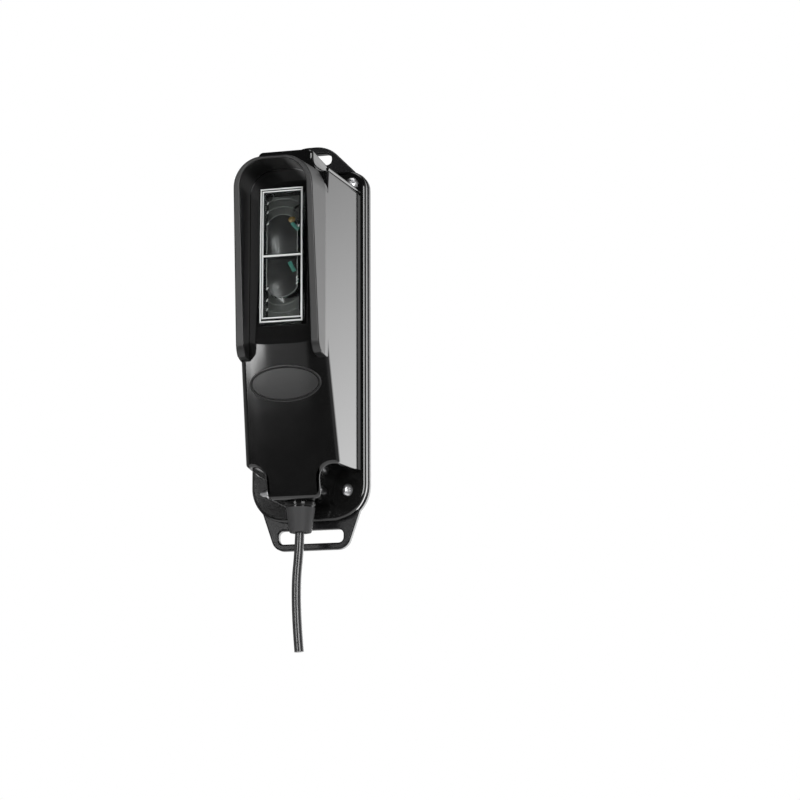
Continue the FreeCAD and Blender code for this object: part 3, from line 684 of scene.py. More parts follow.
class Pattern(Graph):
    """A geometry node tree with places and named inputs, which ends in geometry with a material."""

    def __init__(self, name: str, inputs: Mapping[str, Any]) -> None:
        """Makes the tree and its inputs.

        Args:
            name: Name of the tree.
            inputs: Default values by name; a float or an int gives the input its type.
        """
        tree = bpy.data.node_groups.new(name, "GeometryNodeTree")
        super().__init__(tree)
        self.values: dict[str, Any] = {}
        tree.interface.new_socket(name="Places", in_out="INPUT", socket_type="NodeSocketGeometry")
        for key, value in inputs.items():
            kind = "NodeSocketInt" if isinstance(value, int) else "NodeSocketFloat"
            socket = tree.interface.new_socket(name=key, in_out="INPUT", socket_type=kind)
            self.values[socket.identifier] = value
        tree.interface.new_socket(name="Geometry", in_out="OUTPUT", socket_type="NodeSocketGeometry")
        self._inputs = self.node("NodeGroupInput")

    def input(self, name: str) -> Wire:
        """One of the tree's inputs as a wire."""
        return Wire(self, self._inputs.outputs[name])

    def tube(self, curve: Wire, radius: Any, steps: int) -> Wire:
        """A round closed tube along a curve.

        Args:
            curve: The curve.
            radius: Radius of the tube.
            steps: Facets round it.

        Returns:
            The tube's mesh.
        """
        section = self.circle(radius, steps)
        return self.out("GeometryNodeCurveToMesh", None, {
            "Curve": curve, "Profile Curve": section, "Fill Caps": True})

    def circle(self, radius: Any, steps: int) -> Wire:
        """A round curve in the plane Z = 0."""
        return self.out("GeometryNodeCurvePrimitiveCircle", {"mode": "RADIUS"}, {
            "Resolution": steps, "Radius": radius})

    def line(self, start: Any, end: Any) -> Wire:
        """A straight curve between two points."""
        return self.out("GeometryNodeCurvePrimitiveLine", {"mode": "POINTS"}, {"Start": start, "End": end})

    def join(self, parts: list[Wire]) -> Wire:
        """Several geometries as one."""
        return self.out("GeometryNodeJoinGeometry", None, {"Geometry": parts})

    def copies(self, points: Wire, instance: Wire, sockets: Mapping[str, Any]) -> Wire:
        """Copies of a geometry at points, with a rotation or scale."""
        return self.out("GeometryNodeInstanceOnPoints", None, {
            "Points": points, "Instance": instance, **sockets})

    def random_turn(self, low: Sequence[float], high: Sequence[float], seed: int) -> Wire:
        """A turn for each point between two limits."""
        return self.out("FunctionNodeRandomValue", {"data_type": "FLOAT_VECTOR"}, {
            "Min": low, "Max": high, "Seed": seed})

    def end(self, geometry: Wire, finish: Finish) -> None:
        """Ends the tree: realises instances and gives the result its material.

        Args:
            geometry: What the tree makes.
            finish: The finish that gives the material.
        """
        whole = self.out("GeometryNodeRealizeInstances", None, {"Geometry": geometry})
        dressed = self.out("GeometryNodeSetMaterial", None, {
            "Geometry": whole, "Material": finish.material()})
        self.node("NodeGroupOutput", None, {"Geometry": dressed})

    def piece(self, name: str, places: Sequence[Sequence[float]] = ()) -> Thing:
        """Runs the tree.

        Args:
            name: Name of the new piece.
            places: Points that go into the tree.

        Returns:
            The piece, as a plain mesh.
        """
        mesh = bpy.data.meshes.new(name)
        mesh.from_pydata(places, [], [])
        obj = new_object(name, mesh)
        modifier = obj.modifiers.new("pattern", "NODES")
        modifier.node_group = self.tree
        for identifier, value in self.values.items():
            modifier[identifier] = value
        plain_mesh(obj)
        return obj


# Sub-assemblies


@dataclass
class Housing:
    """Moulded housing on its wall plate, with the bare oval pad on its sloping lower front."""

    nodes: Nodes
    easing: float = 1.1 * MM
    plate_easing: float = 0.6 * MM
    gasket_easing: float = 0.25 * MM
    mouth_share: float = 0.3
    rim_share: float = 0.4
    flange_back: float = 4.4 * MM
    margin: float = 0.2 * MM
    hood_middle: float = 25.0 * MM
    hole_reach: float = 2.4 * MM
    back_facing: float = 0.2
    slope_match: float = 0.9998
    cut_distance: float = 0.001 * MM
    touch: float = 0.01 * MM
    swell: float = 0.5 * MM
    swell_half_width: float = 14.3 * MM
    swell_steps: int = 26
    floor_depth: float = 41.5 * MM
    chin_drop: float = 6.45 * MM
    toe_depth: float = 25.5 * MM
    body_drop: float = 64.25 * MM
    pad_drop: float = 22.4 * MM
    pad_width: float = 28.0 * MM
    pad_height: float = 14.0 * MM
    pad_raise: float = 0.45 * MM
    pad_sink: float = 0.3 * MM
    groove_inset: float = 0.55 * MM
    groove_width: float = 0.7 * MM
    groove_depth: float = 0.45 * MM
    groove_floor: Spot = (0.42, 0.58)
    pad_edge: tuple[Spot, ...] = ((0.0, 0.45), (0.12 * MM, 0.85), (0.35 * MM, 1.0))
    pad_crown: tuple[Spot, ...] = ((0.5, 0.10 * MM), (0.8, 0.14 * MM))
    steps: int = 128
    lip_steps: int = 20
    lip_radius: float = 0.62 * MM
    lip_stand: float = 0.12 * MM
    lip_front: Place = (17.0 * MM, -38.9 * MM, 58.5 * MM)
    lip_back: Place = (20.6 * MM, -6.5 * MM, 58.5 * MM)

    def build(self) -> None:
        """Dresses the housing, plate and gasket and adds the pad and the panels' lips."""
        shell = eased_copy(self.nodes, "housing", "housing_shell", self.easing, self._rounding,
                           self._swell_chin)
        as_piece(shell, Finishes.HOUSING, "housing_black", "housing")
        plate = eased_copy(self.nodes, "back_plate", "wall_plate", self.plate_easing)
        as_piece(plate, Finishes.PLATE, "plate_black", "back_plate")
        gasket = eased_copy(self.nodes, "base_gasket", "gasket_sheet", self.gasket_easing)
        as_piece(gasket, Finishes.SEAL, "seal_rubber", "base_gasket")
        as_piece(self._pad(), Finishes.PAD, "housing_black")
        as_piece(self._lips(), Finishes.HOUSING, "housing_black")

    def _lips(self) -> Thing:
        """Narrow rounded lips along the upper edges of the two side panels.

        Returns:
            The piece, as a plain mesh.
        """
        p = Pattern("panel_lips", {"Radius": self.lip_radius})
        inset = self.lip_radius - self.lip_stand
        ends = (self.lip_front, self.lip_back)
        lines = [p.line(*((side.value * (x - inset), y, z + inset) for x, y, z in ends)) for side in Side]
        p.end(p.tube(p.join(lines), p.input("Radius"), self.lip_steps), Finishes.HOUSING)
        lips = p.piece("panel_lips")
        smooth(lips.data)
        return lips

    def _rounding(self, middle: Vector, facing: Vector) -> float:
        """Share of the rounding at an edge of the housing.

        Args:
            middle: Middle of the edge.
            facing: Direction that the edge faces.

        Returns:
            Full on the body, less on the hood and at its mouth, none on the back and at the screw holes.
        """
        depth = -middle.y
        if depth < self.flange_back + self.margin or facing.y > self.back_facing:
            return 0.0
        if any(math.hypot(middle.x - x, middle.z - z) < self.hole_reach for x, z in SCREW_PLACES):
            return 0.0
        inward = middle.x * facing.x + (middle.z - self.hood_middle) * facing.z < 0
        if depth > self.floor_depth - self.margin:
            return self.mouth_share if inward else self.rim_share
        return 1.0

    @property
    def _slope(self) -> float:
        """Fall of the sloping front for each unit down."""
        return (self.floor_depth - self.toe_depth) / (self.body_drop - self.chin_drop)

    def _bulge(self, across: float) -> float:
        """How far the sloping front stands out of its flat plane at a place across it."""
        return self.swell * max(0.0, 1.0 - (across / self.swell_half_width) ** 4)

    def _swell_chin(self, form: Form) -> None:
        """Swells the flat sloping front into a shallow cylinder, as the moulded one is.

        Args:
            form: The housing's mesh; the line where the slope starts bends down in the middle.
        """
        out = Vector((0, -1, -self._slope)).normalized()
        slopes = (f for f in form.faces if f.normal.dot(out) > self.slope_match)
        face = max(slopes, key=lambda f: f.calc_area())
        part = [face, *face.edges, *face.verts]
        for step in range(1, self.swell_steps):
            across = self.swell_half_width * (2 * step / self.swell_steps - 1)
            part = bmesh.ops.bisect_plane(form, geom=part, dist=self.cut_distance, plane_co=(across, 0, 0),
                                          plane_no=(1, 0, 0))["geom"]
        strips = [f for f in part if isinstance(f, bmesh.types.BMFace)]
        for vert in {v for f in strips for v in f.verts}:
            bulge = self._bulge(vert.co.x)
            if abs(vert.co.y + self.floor_depth) < self.touch:
                vert.co.z -= bulge / self._slope
            else:
                vert.co.y -= bulge
        form.normal_update()

    def _chin_frame(self) -> Matrix:
        """Frame on the sloping front: X across, Y up the slope, Z out of it.

        Returns:
            The frame as a matrix.
        """
        depth = self.floor_depth - self._slope * (self.pad_drop - self.chin_drop)
        up = Vector((0, -self._slope, 1)).normalized()
        across = Vector((1, 0, 0))
        return frame_of(across, up, across.cross(up), (0, -depth, -self.pad_drop))

    def _pad(self) -> Thing:
        """Bare oval pad with a rounded edge and a fine groove inside it.

        Returns:
            The piece, as a plain mesh.
        """
        half_x, half_y, top = self.pad_width / 2, self.pad_height / 2, self.pad_raise
        inset, width, floor = self.groove_inset, self.groove_width, self.pad_raise - self.groove_depth
        profile = [(0.0, -self.pad_sink), *((edge, share * top) for edge, share in self.pad_edge),
                   (inset, top), *((inset + share * width, floor) for share in self.groove_floor),
                   (inset + width, top), *((share * half_y, top + rise) for share, rise in self.pad_crown)]
        turns = [2 * math.pi * i / self.steps for i in range(self.steps)]
        form = bmesh.new()
        rings = [[form.verts.new(((half_x - i) * math.cos(a), (half_y - i) * math.sin(a), z)) for a in turns]
                 for i, z in profile]
        bridge(form, rings)
        form.faces.new(rings[-1])
        form.faces.new(list(reversed(rings[0])))
        for vert in form.verts:
            vert.co.z += self._bulge(vert.co.x)
        form.transform(self._chin_frame())
        bmesh.ops.recalc_face_normals(form, faces=form.faces)
        pad = from_form(form, "badge_pad")
        smooth(pad.data)
        return pad


@dataclass
class Fasteners:
    """The four corner screws, with domed heads and cross recesses."""

    nodes: Nodes
    seat: float = 6.6 * MM
    tip: float = 1.05 * MM
    shank_radius: float = 1.45 * MM
    head_radius: float = 2.4 * MM
    head_height: float = 1.9 * MM
    slot_width: float = 0.62 * MM
    slot_reach: float = 1.55 * MM
    slot_depth: float = 1.0 * MM
    slot_floor: float = 0.55
    overrun: float = 0.5 * MM
    rim_share: float = 0.35
    dome_step: int = 10
    spin: Spot = (0.2, 1.3)
    seed: int = 5
    steps: int = 48

    def build(self) -> None:
        """Repeats one screw at the four corners, each turned as it was left by the screwdriver."""
        screw = self._screw()
        p = Pattern("screw_places", {"Turn": QUARTER_TURN})
        source = p.out("GeometryNodeObjectInfo", None, {"Object": screw}, "Geometry")
        spin = p.random_turn(*((0.0, 0.0, limit) for limit in self.spin), self.seed)
        turn = p.out("FunctionNodeRotateEuler", {"rotation_type": "EULER", "space": "OBJECT"}, {
            "Rotation": p.point(p.input("Turn")), "Rotate By": spin})
        p.end(p.copies(p.input("Places"), source, {"Rotation": turn}), Finishes.STEEL)
        screws = p.piece("corner_screws", [(x, -self.seat, z) for x, z in SCREW_PLACES])
        smooth(screws.data)
        as_piece(screws, Finishes.STEEL, "screw_steel", "cover_screws")
        bpy.data.objects.remove(screw)
        dress_node(self.nodes, "board_screws", Finishes.STEEL)

    def _screw(self) -> Thing:
        """One screw along Z, its seat on Z = 0 and its head above.

        Returns:
            The screw, to be repeated.
        """
        r, h, end = self.head_radius, self.head_height, self.tip - self.seat
        rim = self.rim_share * h
        turns = [math.radians(d) for d in range(0, 90, self.dome_step)]
        dome = [(r * math.cos(a), rim + (h - rim) * math.sin(a)) for a in turns]
        shank = [(0, end), (self.shank_radius, end), (self.shank_radius, 0), (r, 0)]
        screw = from_form(lathe([*shank, *dome, (0, h)], self.steps), "screw")
        cutter = self._cross()
        modify(screw, "BOOLEAN", object=cutter, operation="DIFFERENCE", solver="EXACT", use_self=True)
        bpy.data.objects.remove(cutter)
        return screw

    def _cross(self) -> Thing:
        """Cutter of the cross recess, narrower towards its floor.

        Returns:
            The cutter, to be removed after its use.
        """
        form = bmesh.new()
        floor, top = self.head_height - self.slot_depth, self.head_height + self.overrun
        for quarter in (0.0, QUARTER_TURN):
            made = bmesh.ops.create_cube(form, size=1.0)["verts"]
            for v in made:
                deep = v.co.z < 0
                reach = 2 * self.slot_reach * (self.slot_floor if deep else 1.0)
                v.co = Vector((v.co.x * reach, v.co.y * self.slot_width, floor if deep else top))
            bmesh.ops.rotate(form, verts=made, matrix=Matrix.Rotation(quarter, 3, "Z"))
        return from_form(form, "cross")


def dress_node(nodes: Nodes, node: str, finish: Finish) -> None:
    """Gives a CAD node's own object a finish, and leaves its mesh alone.

    Args:
        nodes: The frame's nodes.
        node: Name of the node.
        finish: Its finish.
    """
    mesh = nodes[node].data
    mesh.materials.clear()
    mesh.materials.append(finish.material())


@dataclass
class Optics:
    """The clear window with painted highlight along its edges, and the lenses, rings and lamp behind its
    face.
    """

    nodes: Nodes
    easing: float = 0.22 * MM
    reach: float = 44.8 * MM
    rise: float = 25.35 * MM
    edge_radius: float = 0.41 * MM
    edge_sink: float = 0.1 * MM
    edge_steps: int = 12
    outer_edge: Four = (-7.75 * MM, 8.35 * MM, -0.3 * MM, 50.8 * MM)
    inner_edge: Four = (-6.95 * MM, 8.15 * MM, 1.05 * MM, 49.9 * MM)
    divider_drop: float = 0.45 * MM
    lens_front: float = 42.7 * MM
    lens_back: float = 40.6 * MM
    lens_offset: float = 9.05 * MM
    lens_half_width: float = 5.95 * MM
    lens_radius: float = 6.9 * MM
    lens_leg: float = 8.1 * MM
    sphere_radius: float = 28.0 * MM
    lens_steps: int = 28
    ring_sink: float = 0.5 * MM
    ring_pitch: float = 3.05 * MM
    ring_count: int = 3
    ring_points: int = 49
    ring_thickness: float = 0.17 * MM
    ring_steps: int = 8
    # Pale drops of painted highlight: their size, shape, depth, inset and random tilt.
    glint: float = 0.42 * MM
    glint_shape: Place = (0.7, 0.4, 1.6)
    glint_sink: float = 0.4 * MM
    glint_inset: float = 0.3 * MM
    glint_tilt: Spot = (0.2, 1.1)
    glint_seed: int = 3
    # Places of painted highlight streaks along the right walls of the cells.
    streaks: tuple[Spot, ...] = (
        (5.95 * MM, 16.6 * MM), (6.0 * MM, 15.5 * MM), (5.95 * MM, 14.4 * MM), (6.6 * MM, 36.5 * MM))
    mark_radius: float = 1.75 * MM
    mark_sink: float = 0.3 * MM
    mark_share: float = 0.7
    mark_steps: int = 40
    marks: tuple[Spot, ...] = ((-5.05 * MM, 48.2 * MM), (5.3 * MM, 2.95 * MM))
    lamp: Spot = (3.84 * MM, 39.0 * MM)
    lamp_sink: float = 0.45 * MM
    lamp_steps: int = 32
    lamp_shape: Four = (1.15, 0.95, 0.6, 1.0)
    lamp_profile: tuple[Spot, ...] = (
        (0, -0.5 * MM), (1.2 * MM, -0.5 * MM), (1.25 * MM, 0.0), (1.1 * MM, 0.35 * MM), (0.7 * MM, 0.6 * MM),
        (0, 0.7 * MM))
    tab_sink: float = 0.55 * MM
    tab_thickness: float = 0.4 * MM
    tab_width: float = 1.5 * MM
    tab_easing: float = 0.12 * MM
    tabs: tuple[Four, ...] = (
        (3.6 * MM, 37.75 * MM, 6.5 * MM, 34.9 * MM), (2.9 * MM, 22.7 * MM, 4.9 * MM, 18.8 * MM))

    def build(self) -> None:
        """Dresses the optics and adds the painted highlight along the edges, the lenses, their rings and the
        pilot lamp.
        """
        window = eased_copy(self.nodes, "lens_window", "clear_window", self.easing)
        as_piece(window, Finishes.WINDOW, "window_clear", "lens_window")
        for node, finish in (("emitter_lens", Finishes.LENS), ("receiver_lens", Finishes.LENS),
                             ("lens_carrier", Finishes.CARRIER), ("window_seal", Finishes.SEAL)):
            dress_node(self.nodes, node, finish)
        as_piece(self._edges(), Finishes.HIGHLIGHT, "window_clear")
        for tier in Tier:
            as_piece(self._lens(tier), Finishes.LENS_SHADE, "lens_clear")
            as_piece(self._rings(tier), Finishes.RIDGE_HIGHLIGHT, "lens_clear")
        as_piece(self._glints(), Finishes.HIGHLIGHT, "lens_clear")
        as_piece(self._marks(), Finishes.RIDGE_HIGHLIGHT, "carrier_black")
        as_piece(self._lamp(), Finishes.AMBER, "lamp_amber")
        as_piece(self._tabs(), Finishes.BOARD, "board_green")

    @staticmethod
    def _stand(obj: Thing, depth: float, height: float = 0.0, upside_down: bool = False) -> Thing:
        """Puts a pattern in its place in front of the wall.

        Args:
            obj: Pattern drawn with X across and Z up.
            depth: Depth of its plane in front of the wall.
            height: Height of its centre.
            upside_down: Whether it is mirrored top to bottom.

        Returns:
            The same object.
        """
        flip = Matrix.Scale(-1.0, 4, (0, 0, 1)) if upside_down else Matrix.Identity(4)
        obj.data.transform(Matrix.Translation((0, -depth, height)) @ flip)
        if upside_down:
            obj.data.flip_normals()
        smooth(obj.data)
        return obj

    def _in_cell(self, obj: Thing, depth: float, tier: Tier) -> Thing:
        """Puts a pattern in one of the two cells, upside down in the lower one."""
        return self._stand(obj, depth, self.rise + tier.value * self.lens_offset, tier is Tier.LOWER)

    def _edges(self) -> Thing:
        """Two rectangles of pale rounded edge round the window's face and the bar between its two cells:
        painted highlight where the clear edges catch light.

        Returns:
            The piece, as a plain mesh.
        """
        names = ("Left", "Right", "Low", "High")
        rows = {"Outer": self.outer_edge, "Inner": self.inner_edge}
        sizes = {f"{row} {name}": size for row, box in rows.items() for name, size in zip(names, box)}
        bar = self.rise - self.divider_drop
        p = Pattern("window_edges", {**sizes, "Radius": self.edge_radius, "Bar": bar})
        curves = []
        for row in rows:
            left, right, low, high = (p.input(f"{row} {name}") for name in names)
            frame = p.out("GeometryNodeCurvePrimitiveQuadrilateral", {"mode": "RECTANGLE"}, {
                "Width": right - left, "Height": high - low})
            curves.append(p.out("GeometryNodeTransform", None, {
                "Geometry": frame, "Rotation": UPRIGHT,
                "Translation": p.point(0.5 * (left + right), 0.5 * (low + high))}))
        curves.append(p.line(*(p.point(p.input(f"Inner {name}"), p.input("Bar")) for name in names[:2])))
        p.end(p.tube(p.join(curves), p.input("Radius"), self.edge_steps), Finishes.HIGHLIGHT)
        return self._stand(p.piece("window_edges"), self.reach - self.edge_sink)

    def _front(self, x: float, z: float) -> float:
        """Depth of a lens's spherical front at a place from its centre."""
        return self.lens_front - self.sphere_radius + math.sqrt(self.sphere_radius ** 2 - x * x - z * z)

    def _lens(self, tier: Tier) -> Thing:
        """One dark lens behind the window's face: an arch in outline with a spherical front; its darkness is
        painted shade of the cell behind the clear lens.

        Args:
            tier: The cell that it stands in.

        Returns:
            The piece, as a plain mesh.
        """
        n = self.lens_steps
        form = bmesh.new()
        fronts, backs = [], []
        for i in range(n + 1):
            x = self.lens_half_width * (2 * i / n - 1)
            tall = math.sqrt(self.lens_radius ** 2 - x ** 2) + self.lens_leg
            heights = [tall * j / n - self.lens_leg for j in range(n + 1)]
            fronts.append([form.verts.new((x, -self._front(x, z), z)) for z in heights])
            backs.append([form.verts.new((x, -self.lens_back, z)) for z in heights])
        for i in range(n):
            for j in range(n):
                for rows in (fronts, backs):
                    form.faces.new((rows[i][j], rows[i + 1][j], rows[i + 1][j + 1], rows[i][j + 1]))
        rim = [*((i, 0) for i in range(n)), *((n, j) for j in range(n)),
               *((i, n) for i in range(n, 0, -1)), *((0, j) for j in range(n, -1, -1))]
        for (i, j), (k, m) in zip(rim, rim[1:]):
            form.faces.new((fronts[i][j], backs[i][j], backs[k][m], fronts[k][m]))
        bmesh.ops.recalc_face_normals(form, faces=form.faces)
        return self._in_cell(from_form(form, f"lens_{tier.name.lower()}"), 0.0, tier)

    def _rings(self, tier: Tier) -> Thing:
        """Fine moulded rings round a lens, with its two straight sides, pale with painted highlight.

        Args:
            tier: The cell that they stand in.

        Returns:
            The piece, as a plain mesh.
        """
        p = Pattern("lens_rings", {
            "Start": self.lens_radius, "Pitch": self.ring_pitch, "Count": self.ring_count,
            "Thickness": self.ring_thickness, "Half width": self.lens_half_width, "Leg": self.lens_leg})
        half = p.input("Half width")
        fine = p.out("GeometryNodeResampleCurve", {"mode": "COUNT"}, {
            "Curve": p.line((-1.0, 0.0, 0.0), (1.0, 0.0, 0.0)), "Count": self.ring_points})
        rows = p.out("GeometryNodeMeshLine", {"mode": "OFFSET"}, {
            "Count": p.input("Count"), "Offset": (0.0, 1.0, 0.0)})
        x, y, _ = p.axes(p.out("GeometryNodeInputPosition"))
        ring, across = p.input("Start") + p.input("Pitch") * y, half * x
        height = p.out("ShaderNodeMath", {"operation": "SQRT"}, {0: ring * ring - across * across})
        arcs = p.out("GeometryNodeRealizeInstances", None, {"Geometry": p.copies(rows, fine, {})})
        arcs = p.out("GeometryNodeSetPosition", None, {"Geometry": arcs, "Position": p.point(across, height)})
        ends = (0.5 * p.input("Start"), -1.0 * p.input("Leg"))
        legs = [p.line(*(p.point(side.value * half, end) for end in ends)) for side in Side]
        p.end(p.tube(p.join([arcs, *legs]), p.input("Thickness"), self.ring_steps), Finishes.RIDGE_HIGHLIGHT)
        return self._in_cell(p.piece(f"rings_{tier.name.lower()}"), self.lens_front - self.ring_sink, tier)

    def _glints(self) -> Thing:
        """Pale drops of painted highlight where each ring meets the left wall, and along the right wall.

        Returns:
            The piece, as a plain mesh.
        """
        places = [(x, 0.0, z) for x, z in self.streaks]
        for tier in Tier:
            for ring in range(self.ring_count):
                radius = self.lens_radius + ring * self.ring_pitch
                height = self.lens_offset + math.sqrt(radius ** 2 - self.lens_half_width ** 2)
                places.append((self.glint_inset - self.lens_half_width, 0.0, self.rise + tier.value * height))
        p = Pattern("ring_glints", {"Size": self.glint})
        ball = {"Radius": p.input("Size"), "Subdivisions": 2}
        drop = p.out("GeometryNodeMeshIcoSphere", None, ball, "Mesh")
        tilt = p.random_turn(*((0.0, limit, 0.0) for limit in self.glint_tilt), self.glint_seed)
        p.end(p.copies(p.input("Places"), drop, {"Rotation": tilt, "Scale": self.glint_shape}), Finishes.HIGHLIGHT)
        return self._stand(p.piece("ring_glints", places[::-1]), self.lens_front - self.glint_sink)

    def _marks(self) -> Thing:
        """Round ejector marks in two corners of the window, pale with painted highlight.

        Returns:
            The piece, as a plain mesh.
        """
        p = Pattern("ejector_marks", {
            "Radius": self.mark_radius, "Thickness": self.mark_share * self.ring_thickness})
        circle = p.circle(p.input("Radius"), self.mark_steps)
        tube = p.tube(circle, p.input("Thickness"), self.ring_steps)
        p.end(p.copies(p.input("Places"), tube, {"Rotation": UPRIGHT}), Finishes.RIDGE_HIGHLIGHT)
        marks = p.piece("ejector_marks", [(x, 0.0, z) for x, z in self.marks])
        return self._stand(marks, self.lens_front - self.mark_sink)

    def _lamp(self) -> Thing:
        """Small round amber lamp at the upper lens's shoulder.

        Returns:
            The piece, as a plain mesh.
        """
        form = lathe(self.lamp_profile, self.lamp_steps)
        form.transform(Matrix.Rotation(QUARTER_TURN, 4, "X") @ Matrix.Diagonal(self.lamp_shape))
        form.transform(Matrix.Translation((self.lamp[0], 0, 0)))
        return self._stand(from_form(form, "pilot_lamp"), self.lens_front - self.lamp_sink, self.lamp[1])

    def _tabs(self) -> Thing:
        """Narrow slanting tabs of circuit board that show beside the lenses.

        Returns:
            The piece, as a plain mesh.
        """
        form = bmesh.new()
        for x0, z0, x1, z1 in self.tabs:
            length, turn = math.hypot(x1 - x0, z1 - z0), math.atan2(z1 - z0, x1 - x0)
            made = bmesh.ops.create_cube(form, size=1.0)["verts"]
            bmesh.ops.scale(form, verts=made, vec=(length, self.tab_thickness, self.tab_width))
            bmesh.ops.rotate(form, verts=made, matrix=Matrix.Rotation(-turn, 3, "Y"))
            bmesh.ops.translate(form, verts=made, vec=((x0 + x1) / 2, 0, (z0 + z1) / 2))
        bmesh.ops.bevel(form, geom=form.edges[:], offset=self.tab_easing, segments=2, profile=0.5,
                        affect="EDGES")
        return self._stand(from_form(form, "board_tabs"), self.lens_front - self.tab_sink)


@dataclass
class Electronics:
    """Circuit board, its components and the leads, closed in behind the carrier."""

    nodes: Nodes

    def build(self) -> None:
        """Dresses each component."""
        for node, finish in (
                ("circuit_board", Finishes.BOARD), ("infrared_emitter", Finishes.EMITTER),
                ("photodiode_receiver", Finishes.RECEIVER), ("alignment_lamp", Finishes.PILOT),
                ("output_relay", Finishes.RELAY), ("smoothing_capacitor", Finishes.SLEEVE),
                ("controller_chip", Finishes.CHIP), ("voltage_regulator", Finishes.CHIP),
                ("wire_connector", Finishes.TERMINAL), ("strain_tie", Finishes.NYLON),
                ("lead_supply_positive", Finishes.RED), ("lead_supply_negative", Finishes.BLACK),
                ("lead_relay_common", Finishes.WHITE), ("lead_relay_contact", Finishes.YELLOW)):
            dress_node(self.nodes, node, finish)


@dataclass
class CableRun:
    """The gland and the cable that hangs from it to its cut end."""

    nodes: Nodes
    depth: float = 16.8 * MM
    diameter: float = 3.6 * MM
    length: float = 62.7 * MM
    route: tuple[Spot, ...] = (
        (0.0, -58.0 * MM), (0.0, -78.0 * MM), (-2.2 * MM, -100.0 * MM), (-0.3 * MM, -120.5 * MM))
    round_steps: int = 8
    length_steps: int = 24
    gland_easing: float = 0.3 * MM

    def build(self) -> None:
        """Builds the cable and dresses the gland."""
        gland = eased_copy(self.nodes, "cable_gland", "rubber_gland", self.gland_easing)
        as_piece(gland, Finishes.GLAND, "gland_rubber", "cable_gland")
        cable = self._cable()
        as_piece(cable, Finishes.JACKET, "cable_jacket", "cable")

    def _cable(self) -> Thing:
        """The cable as one smooth round curve through the route.

        Returns:
            The cable, as a curve.
        """
        curve = set_up(bpy.data.curves.new("hanging_cable", "CURVE"), dimensions="3D",
                       bevel_depth=self.diameter / 2, bevel_resolution=self.round_steps,
                       resolution_u=self.length_steps, use_fill_caps=True)
        spline = curve.splines.new("NURBS")
        spline.points.add(len(self.route) - 1)
        for point, (x, z) in zip(spline.points, self.route):
            point.co = (x, -self.depth, z, 1.0)
        set_up(spline, order_u=3, use_endpoint_u=True)
        return link(bpy.data.objects.new("hanging_cable", curve))


# Studio


@dataclass(frozen=True)
class Softbox:
    """A rectangular lamp that faces a point: its place, aim, width and height, and power in watts."""

    name: str
    place: Place
    aim: Place
    size: Spot
    power: float

    def build(self) -> None:
        """Adds the lamp."""
        data = set_up(bpy.data.lights.new(self.name, "AREA"), shape="RECTANGLE", size=self.size[0],
                      size_y=self.size[1], energy=self.power)
        lamp = link(bpy.data.objects.new(self.name, data))
        lamp.location = self.place
        lamp.rotation_euler = (Vector(self.aim) - Vector(self.place)).to_track_quat("-Z", "Y").to_euler()


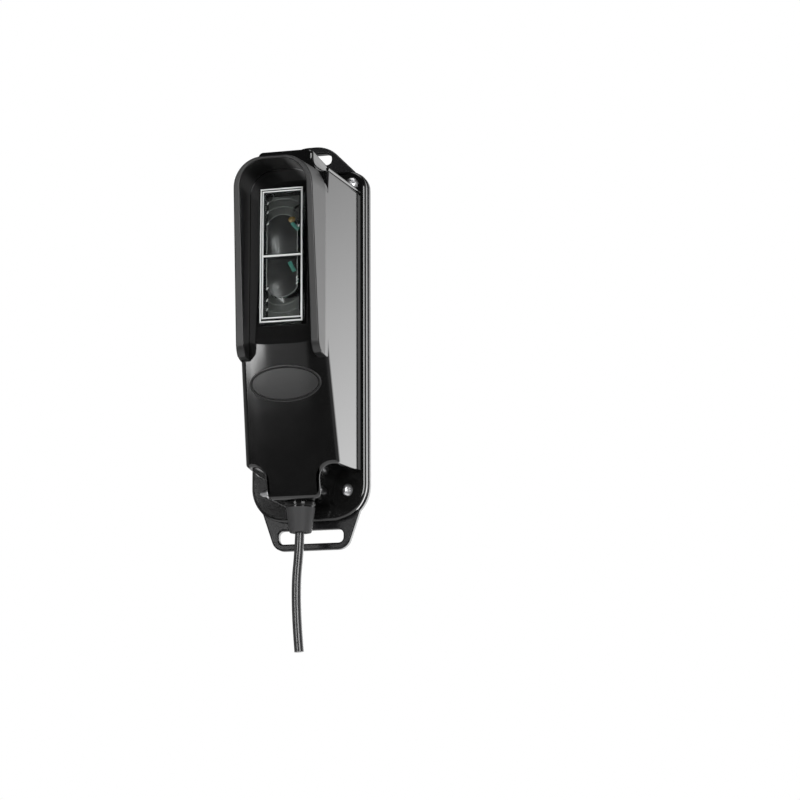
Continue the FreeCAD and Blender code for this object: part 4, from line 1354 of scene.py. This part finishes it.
@dataclass
class Studio:
    """Camera at the photograph's place, soft lamps, a graded surround and a pale floor.

    Each fade of the surround has the values where it starts and ends, and the levels there.
    """

    eye: Place = (0.2416, -0.8302, -0.19905)
    azimuth: float = 14.0
    elevation: float = -11.608
    roll: float = -0.254
    lens: float = 102.24
    sensor: float = 36.0
    clip: Spot = (0.01, 50.0)
    floor_drop: float = 0.5
    floor_size: float = 40.0
    floor_grey: float = 0.88
    floor_glow: float = 0.96
    floor_white: float = 0.85
    bright_way: Spot = (0.45, 0.89)
    bright_fade: Four = (0.62, 0.95, 0.04, 3.6)
    height_fade: Four = (0.10, 0.36, 1.0, 0.30)
    side_fade: Four = (0.45, 0.9, 0.0, 0.35)
    ground_fade: Four = (-0.8, -0.5, 1.0, 0.0)
    lamps: tuple[Softbox, ...] = (
        Softbox("front_softbox", (0.70, -1.07, 0.137), (0.0, 0.0, -0.03), (0.50, 0.70), 8.5),
        Softbox("left_softbox", (-0.533, -1.115, -0.066), (0.0, -0.04, 0.0), (0.258, 0.596), 4.4),
        Softbox("low_fill", (-0.318, -1.143, -0.340), (0.0, -0.035, -0.02), (0.168, 0.12), 0.023),
        Softbox("top_softbox", (0.25, -0.35, 1.10), (0.0, 0.0, 0.0), (0.6, 0.6), 3.0))

    def build(self) -> None:
        """Sets up the whole studio."""
        self._camera()
        self._surround()
        self._floor()
        for lamp in self.lamps:
            lamp.build()
        bpy.context.scene.view_settings.view_transform = "Standard"

    def _camera(self) -> None:
        """Camera with the photograph's place, aim, roll and lens."""
        a, e, t = (math.radians(v) for v in (self.azimuth, self.elevation, self.roll))
        toward = Vector((-math.sin(a) * math.cos(e), math.cos(a) * math.cos(e), -math.sin(e)))
        level = Vector((math.cos(a), math.sin(a), 0.0))
        up = level.cross(toward)
        right = level * math.cos(t) + up * math.sin(t)
        top = up * math.cos(t) - level * math.sin(t)
        data = set_up(bpy.data.cameras.new("photo_camera"), sensor_width=self.sensor, lens=self.lens,
                      clip_start=self.clip[0], clip_end=self.clip[1])
        camera = link(bpy.data.objects.new("photo_camera", data))
        camera.matrix_world = frame_of(right, top, -toward, self.eye)
        bpy.context.scene.camera = camera

    def _surround(self) -> None:
        """World: bright behind and below, faint at the sides, dim in front, and white to the camera."""
        world = bpy.data.worlds.new("studio_surround")
        bpy.context.scene.world = world
        world.use_nodes = True
        g = Graph(world.node_tree)
        x, y, z = g.axes(g.out("ShaderNodeTexCoord", result="Generated"))
        bright = g.fade(self.bright_way[0] * x + self.bright_way[1] * y, *self.bright_fade)
        sides, ground = g.fade(x * x, *self.side_fade), g.fade(z, *self.ground_fade)
        seen = g.out("ShaderNodeLightPath", result="Is Camera Ray")
        level = seen + (1 - seen) * (bright * g.fade(z, *self.height_fade) + sides + ground)
        shine = g.out("ShaderNodeBackground", None, {"Color": WHITE, "Strength": level})
        g.node("ShaderNodeOutputWorld", None, {"Surface": shine})

    def _floor(self) -> None:
        """Plain pale floor far below the part, which hangs on a wall; it can be seen through from below."""
        half = self.floor_size / 2
        square = ((-half, -half), (half, -half), (half, half), (-half, half))
        mesh = bpy.data.meshes.new("studio_floor")
        mesh.from_pydata([(x, y, -self.floor_drop) for x, y in square], [], [(0, 1, 2, 3)])
        floor = new_object("studio_floor", mesh)
        s = Surface("pale_floor")
        shade = s.out("ShaderNodeBsdfDiffuse", None, {"Color": (*grey(self.floor_grey), 1.0)})
        white = s.out("ShaderNodeEmission", None, {"Color": WHITE, "Strength": self.floor_glow})
        rays = s.node("ShaderNodeLightPath")
        seen = Wire(s, rays.outputs["Is Camera Ray"]).most(Wire(s, rays.outputs["Is Transmission Ray"]))
        above = s.out("ShaderNodeMixShader", None, {0: self.floor_white * seen, 1: shade, 2: white})
        below = s.out("ShaderNodeNewGeometry", result="Backfacing")
        clear = s.out("ShaderNodeBsdfTransparent")
        mixed = s.out("ShaderNodeMixShader", None, {0: below, 1: above, 2: clear})
        s.node("ShaderNodeOutputMaterial", None, {"Surface": mixed})
        mesh.materials.append(s.material)
        floor.visible_glossy = False


def main() -> None:
    """Loads the frame and builds every sub-assembly on it."""
    logging.basicConfig(level=logging.INFO, format="%(name)s: %(message)s")
    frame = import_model()
    nodes = frame["nodes"]
    for assembly in (Housing(nodes), Fasteners(nodes), Optics(nodes), Electronics(nodes), CableRun(nodes)):
        assembly.build()
        LOG.info("%s built", type(assembly).__name__)
    Studio().build()
    bpy.context.view_layer.update()


if __name__ == "__main__":
    main()
